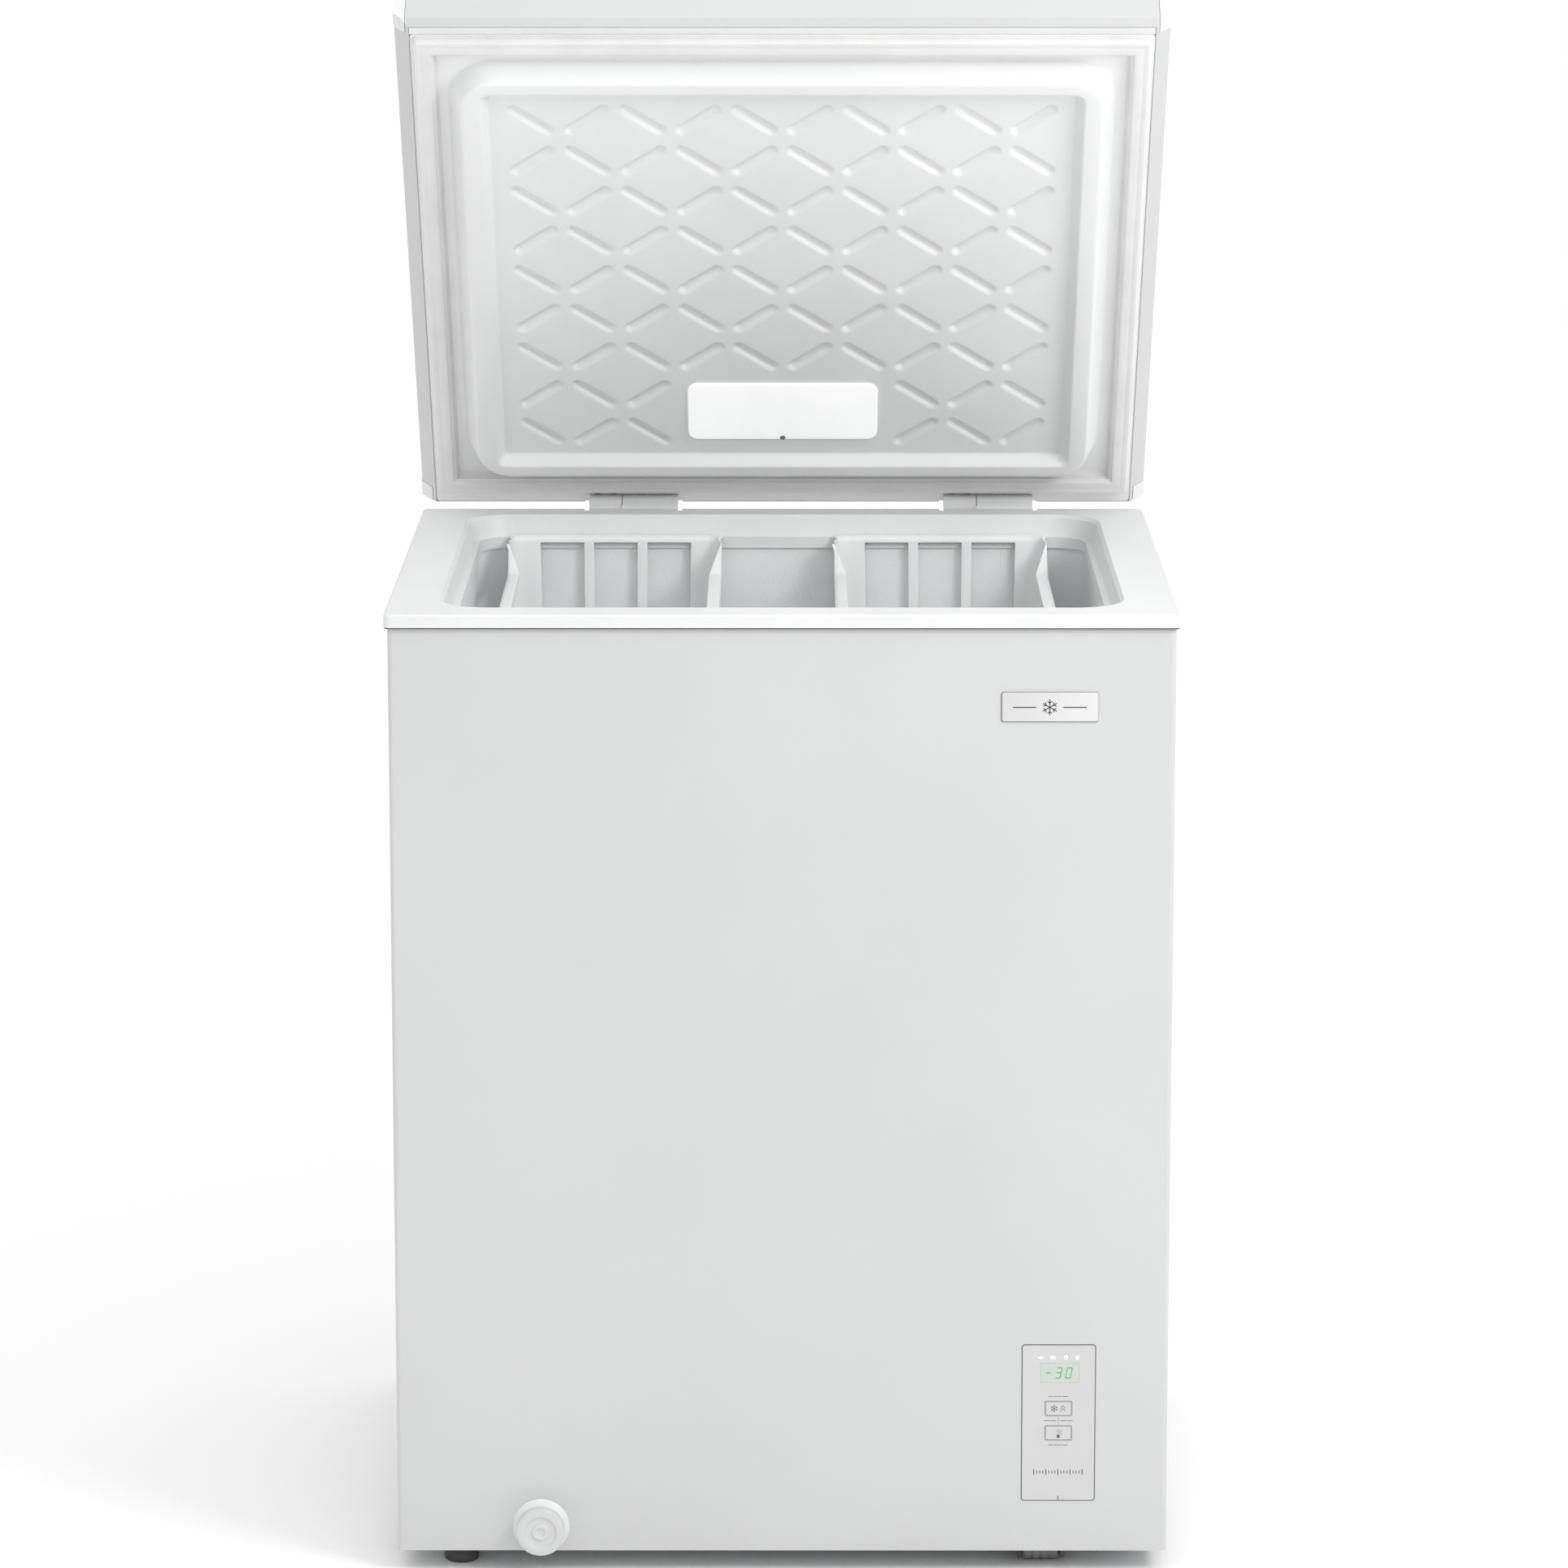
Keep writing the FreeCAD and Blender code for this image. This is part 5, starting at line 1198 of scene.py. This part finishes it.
class FREEZER_OT_panel_print(bpy.types.Operator):
    """Print the control panel: outlines and signs of the keys, the status row and the display's digits"""

    bl_idname = "freezer.panel_print"
    bl_label = "Control panel print"

    def execute(self, context):
        low, high = front_face("control_bezel")
        face = low[1]
        boost, temperature = box("key_boost"), box("key_temperature")
        x = (boost[0][0] + boost[1][0]) / 2
        upper, lower = (boost[0][2] + boost[1][2]) / 2, (temperature[0][2] + temperature[1][2]) / 2
        outline = loop_line(10.4 * MM, 5.8 * MM, 1.2 * MM, 0.35 * MM, INK)
        make_print("key_boost_print", [outline, *self.boost_sign()], (x, upper, face), body="key_boost")
        make_print("key_temperature_print", [outline, *self.thermometer()], (x, lower, face),
                   body="key_temperature")
        self.labels(x, upper, lower, face)
        self.scale_and_joint(low, high)
        self.status_row(x, high[2] - 10.2 * MM, face)
        self.digits()
        return {"FINISHED"}

    def boost_sign(self):
        """A snowflake, and two peaks one over the other."""
        lines = [moved(snowflake(2.9 * MM, 0.42 * MM, INK), -3.4 * MM, 0)]
        for level in (-1.1 * MM, 1.1 * MM):
            for foot in (1.6 * MM, 5.6 * MM):
                lines.append(stroke((foot, level - 1 * MM), (3.6 * MM, level + 1 * MM), 0.5 * MM, INK))
        return lines

    def thermometer(self):
        """A tube on a round bulb, with three marks beside it."""
        tube = loop_line(0.9 * MM, 2.9 * MM, 0.9 * MM, 0.3 * MM, INK)
        bulb = moved(disc(1.5 * MM, INK, 20), 0, -2.9 * MM)
        marks = [stroke((1.8 * MM, level * MM), (3.2 * MM, level * MM), 0.35 * MM, INK)
                 for level in (-0.6, 0.8, 2.2)]
        return [tube, bulb, *marks]

    def labels(self, x, upper, lower, face):
        """The line between the keys, and bars for the words above, below and beside it."""
        lines = [stroke((0, upper - 7.4 * MM), (0, lower + 7.4 * MM), 0.3 * MM, INK)]
        key_words = ((-8.0, -4.6), (-3.6, -1.2), (-0.4, 2.2), (3.2, 7.4))
        middle_words = ((-11.5, -7.2), (-6.2, -2.0), (2.0, 6.0), (7.0, 11.5))
        rows = ((upper + 10.2 * MM, key_words, 0.55 * MM), (lower - 10.2 * MM, key_words, 0.55 * MM),
                ((upper + lower) / 2, middle_words, 0.5 * MM))
        for level, words, width in rows:
            lines += [stroke((start * MM, level), (end * MM, level), width, INK) for start, end in words]
        make_print("panel_print", lines, (x, 0.0, face))

    def scale_and_joint(self, low, high):
        """A cold scale of long and short ticks on the bezel, a dark stroke as painted shade for its prising notch,
        and a dark band as painted shadow in the joint round it.
        """
        middle, half = (low + high) / 2, (high - low) / 2
        x, face = middle[0], low[1]
        ticks, pitch = 17, 2.45 * MM
        lines = []
        for index in range(ticks):
            reach = 2.1 * MM if index % 4 == 0 else 1.1 * MM
            place = (index - ticks // 2) * pitch
            lines.append(stroke((place, -reach), (place, reach), 0.6 * MM, INK))
        make_print("panel_cold_scale", lines, (x, low[2] + 23.6 * MM, face), "ink_dark")
        # Painted shade: the prising notch is not cut; a dark stroke stands for its shaded hollow.
        notch = stroke((0, 0), (0, 2.6 * MM), 0.6 * MM, INK)
        make_print("panel_notch_painted_shade", [notch], (x, low[2] + 0.8 * MM, face))
        # Painted shadow: a dark band over the gap between the bezel and the cabinet's front, where there is only
        # shade.
        joint = 0.9 * MM
        border = loop_line(half[0] + joint, half[2] + joint, 2.8 * MM, joint, INK)
        make_print("panel_joint_painted_shadow", [border], (x, middle[2], box("outer_shell")[0][1]))

    def status_row(self, x, z, face):
        """Four small signs over the display: a plus, a lock, a clock and a snowflake."""
        def bar(start, end, width):
            """A line of a sign, in millimetres."""
            return stroke(np.array(start) * MM, np.array(end) * MM, width * MM, INK)

        def outline(half_x, half_z, radius):
            """A round-cornered outline of a sign, in millimetres."""
            return loop_line(half_x * MM, half_z * MM, radius * MM, 0.45 * MM, INK)

        signs = [
            [bar((-2, 0), (2, 0), 0.8), bar((0, -0.9), (0, 0.9), 0.8)],
            [outline(2.4, 1.3, 0.6), bar((-1, 0), (1, 0), 0.6)],
            [outline(1.7, 1.7, 1.7), bar((0, 0), (0, 1.2), 0.4)],
            [snowflake(2.0 * MM, 0.4 * MM, INK)],
        ]
        places = (-14.7, -4.8, 5.7, 15.0)
        lines = [moved(merged(sign), place * MM, 0) for place, sign in zip(places, signs)]
        make_print("panel_status_row", lines, (x, z, face), "ink_white_painted_glow")

    def digits(self):
        """A minus and two slanting seven-segment digits, each segment a bar with round ends."""
        low, high = box("display_window")
        middle = (low + high) / 2
        half, wide = 4.3 * MM, 1.95 * MM
        width, height, gap, slant = 0.85 * MM, 0.05 * MM, 0.45 * MM, 0.18
        ends = {
            "a": ((gap - wide, half), (wide - gap, half)), "b": ((wide, half - gap), (wide, gap)),
            "c": ((wide, -gap), (wide, gap - half)), "d": ((gap - wide, -half), (wide - gap, -half)),
            "e": ((-wide, -gap), (-wide, gap - half)), "f": ((-wide, half - gap), (-wide, gap)),
            "g": ((gap - wide, 0), (wide - gap, 0)),
        }
        bars = []
        for segments, centre in (("g", -9.1 * MM), ("abcdg", -0.9 * MM), ("abcdef", 7.4 * MM)):
            for segment in segments:
                start, end = [(x + centre + slant * z, z) for x, z in ends[segment]]
                bars.append(stroke(start, end, width, height))
        make_print("display_digits", bars, (middle[0], middle[2], low[1]), "digits")


class FREEZER_OT_name_plate(bpy.types.Operator):
    """Make the satin name plate on a dark backing that shows mostly at its left and bottom as painted shadow, and
    a plain snow sign
    """

    bl_idname = "freezer.name_plate"
    bl_label = "Name plate"

    def execute(self, context):
        low, high = box("name_plate")
        middle, half = (low + high) / 2, (high - low) / 2
        x, z, face = middle[0], middle[2], high[1]
        # Painted shadow: a dark plate behind the face, and the face moved up and to the right, so the dark shows
        # as a shadow at the left and bottom.
        border, shift = 0.45 * MM, 0.25 * MM
        back = plate(half[0], half[2], 2 * MM, 0.8 * MM, 0.2 * MM)
        make_piece("name_plate_painted_shadow", on_front(back, x, z, face), "cabinet", "grey_plastic", ["name_plate"])
        shown = plate(half[0] - border, half[2] - border, 1.7 * MM, 2 * half[1], 0.35 * MM)
        make_piece("name_plate_face", on_front(shown, x + shift, z + shift, face), "cabinet", "name_plate")
        sign = [snowflake(6.2 * MM, 0.75 * MM, INK)]
        for side in (-1, 1):
            sign.append(stroke((side * 11 * MM, 0), (side * 29 * MM, 0), 0.9 * MM, INK))
        make_print("name_plate_sign", sign, (x, z, low[1]), "ink_dark")
        return {"FINISHED"}


class FREEZER_OT_feet(bpy.types.Operator):
    """Turn the levelling feet and the rollers"""

    bl_idname = "freezer.feet"
    bl_label = "Feet and rollers"

    def execute(self, context):
        for end in ("front", "rear"):
            self.foot(end)
        for end in ("front", "rear"):
            self.roller(end)
        return {"FINISHED"}

    def foot(self, end):
        """A levelling foot: a rounded pad, a shoulder, and a stud whose thread is a row of ridges."""
        low, high = box("foot_" + end)
        middle, half = (low + high) / 2, (high - low) / 2
        radius, tall = half[0], 2 * half[2]
        stud, root, pitch, first = 5 * MM, 4.4 * MM, 3 * MM, 12 * MM
        pad = ((2, 0), (0.7, 0.5), (0, 2), (0, 6), (0.8, 7), (0.8, 8), (2.5, 10.4), (4, 11))
        profile = [(0, 0), *((radius - inset * MM, level * MM) for inset, level in pad), (stud, 11 * MM)]
        for turn in range(10):
            level = first + turn * pitch
            if level + pitch < tall:
                profile += [(stud, level), (root, level + 1 * MM), (stud, level + 2 * MM)]
        profile += [(stud, tall - 1 * MM), (4.2 * MM, tall), (0, tall)]
        points, faces = turned_shape(profile)
        make_piece("levelling_foot_" + end, (points + (middle[0], middle[1], 0), faces), "foot_" + end,
                   "dark_plastic", ["foot_" + end], sharp=50)

    def roller(self, end):
        """A roller turned about its axle: dished faces, a rounded rim and three grooves round the tread."""
        wheel = node_points("roller_" + end)
        low, high = wheel.min(0), wheel.max(0)
        middle = (low + high) / 2
        radius, half = 15 * MM, (high[0] - low[0]) / 2
        side = ((3.1 * MM, 0), (6 * MM, 0), (6.6 * MM, 1.5 * MM), (12 * MM, 1.5 * MM), (12.6 * MM, 0),
                (radius - 1.2 * MM, 0), (radius, 1.4 * MM))
        profile = [(reach, sunk - half) for reach, sunk in side]
        for groove in (-0.45 * half, 0.0, 0.45 * half):
            profile += [(radius, groove - 1 * MM), (radius - 0.6 * MM, groove - 0.5 * MM),
                        (radius - 0.6 * MM, groove + 0.5 * MM), (radius, groove + 1 * MM)]
        profile += [(reach, half - sunk) for reach, sunk in reversed(side)]
        points, faces = turned_shape(profile + profile[:1])
        points = np.stack([points[:, 2] + middle[0], points[:, 0] + middle[1], points[:, 1] + radius], -1)
        make_piece("roller_" + end + "_turned", (points, faces), "roller_" + end, "grey_plastic",
                   ["roller_" + end], sharp=50)


class FREEZER_OT_finishes(bpy.types.Operator):
    """Make every finish and give each CAD node the one of its material slot"""

    bl_idname = "freezer.finishes"
    bl_label = "Finishes"

    def execute(self, context):
        FINISHES.update(make_finishes(context.scene.freezer_colours))
        for name, slot in SLOT_OF.items():
            node = frame["nodes"][name]
            if not node.material_slots:
                node.data.materials.append(FINISHES[slot])
            for material_slot in node.material_slots:
                material_slot.material = FINISHES[slot]
        return {"FINISHED"}


class FREEZER_OT_stage(bpy.types.Operator):
    """Set the floor, the soft lights and the camera"""

    bl_idname = "freezer.stage"
    bl_label = "Stage"

    def execute(self, context):
        studio = context.scene.freezer_studio
        scene = context.scene
        scene.view_settings.view_transform = "Standard"
        reach = 40.0
        x, y = np.meshgrid((-reach, reach), (-reach, reach))
        points, faces = sheet_of(np.stack([x, y, np.zeros_like(x)], -1))
        mesh = bpy.data.meshes.new("floor")
        mesh.from_pydata(points.tolist(), [], faces.tolist())
        floor = bpy.data.objects.new("floor", mesh)
        floor.data.materials.append(FINISHES["floor"])
        scene.collection.objects.link(floor)
        self.sky(scene, studio)
        front = box("rim_collar")[0][1]
        self.light(scene, "key_light", place=(1.6, front - 1.3, 2.0), aim=(0.0, 0.0, 0.8), size=(0.8, 0.8),
                   power=studio.key_power)
        self.light(scene, "fill_light", place=(0.6, front - 3.4, 1.45), aim=(0.0, 0.0, 0.9), size=(2.0, 1.2),
                   power=studio.fill_power)
        camera = bpy.data.cameras.new("camera")
        camera.lens = studio.lens
        camera.sensor_width = 36.0
        camera.shift_y = studio.shift
        camera.clip_end = 200.0
        holder = bpy.data.objects.new("camera", camera)
        holder.location = (studio.aside, front - studio.distance, studio.height)
        holder.rotation_euler = Euler((math.pi / 2 - studio.pitch, 0.0, -studio.yaw), "XYZ")
        scene.collection.objects.link(holder)
        scene.camera = holder
        return {"FINISHED"}

    def sky(self, scene, studio):
        """Soft light all round, dimmer at the horizon than overhead."""
        scene.world = bpy.data.worlds.new("studio")
        nodes = Nodes(scene.world)
        up = nodes.parts(nodes.node("ShaderNodeTexCoord", out="Generated"))[2]
        strength = studio.horizon + up.rise(0.05, 0.85) * (studio.overhead - studio.horizon)
        nodes.finish("ShaderNodeOutputWorld", nodes.node("ShaderNodeBackground", values={
            "Color": (1.0, 1.0, 1.0, 1.0), "Strength": strength}))

    def light(self, scene, name, place, aim, size, power):
        """A rectangular light at a place, turned so that it shines at its aim."""
        data = bpy.data.lights.new(name, "AREA")
        data.shape = "RECTANGLE"
        data.size, data.size_y = size
        data.energy = power
        holder = bpy.data.objects.new(name, data)
        holder.location = place
        way = np.array(aim) - np.array(place)
        flat = math.hypot(way[0], way[1])
        holder.rotation_euler = Euler((math.pi / 2 + math.atan2(way[2], flat), 0.0,
                                       math.atan2(-way[0], way[1])), "XYZ")
        scene.collection.objects.link(holder)


class FREEZER_PT_pieces(bpy.types.Panel):
    """Lists the freezer's pieces with their sizes and colours."""

    bl_idname = "FREEZER_PT_pieces"
    bl_label = "Chest freezer"
    bl_space_type = "VIEW_3D"
    bl_region_type = "UI"
    bl_category = "Freezer"

    def draw(self, context):
        layout = self.layout
        for operator in OPERATORS:
            layout.operator(operator.bl_idname)
        for group_name, group in GROUPS.items():
            column = layout.box().column()
            for name in group.__annotations__:
                column.prop(getattr(context.scene, group_name), name)


GROUPS = {"freezer_colours": FreezerColours, "freezer_lid": FreezerLidSizes,
          "freezer_basket": FreezerBasketSizes, "freezer_studio": FreezerStudio}
OPERATORS = (FREEZER_OT_finishes, FREEZER_OT_lid_liner, FREEZER_OT_lid_foam, FREEZER_OT_seal, FREEZER_OT_lamp,
             FREEZER_OT_rim_painted_shadow, FREEZER_OT_baskets, FREEZER_OT_drain, FREEZER_OT_panel_print,
             FREEZER_OT_name_plate, FREEZER_OT_feet, FREEZER_OT_stage)


def register():
    for made in (*GROUPS.values(), *OPERATORS, FREEZER_PT_pieces):
        bpy.utils.register_class(made)
    for name, group in GROUPS.items():
        setattr(bpy.types.Scene, name, PointerProperty(type=group))


def unregister():
    for name in GROUPS:
        delattr(bpy.types.Scene, name)
    for made in reversed((*GROUPS.values(), *OPERATORS, FREEZER_PT_pieces)):
        bpy.utils.unregister_class(made)


def main():
    register()
    for operator in OPERATORS:
        group, name = operator.bl_idname.split(".")
        getattr(getattr(bpy.ops, group), name)()


if __name__ == "__main__":
    main()
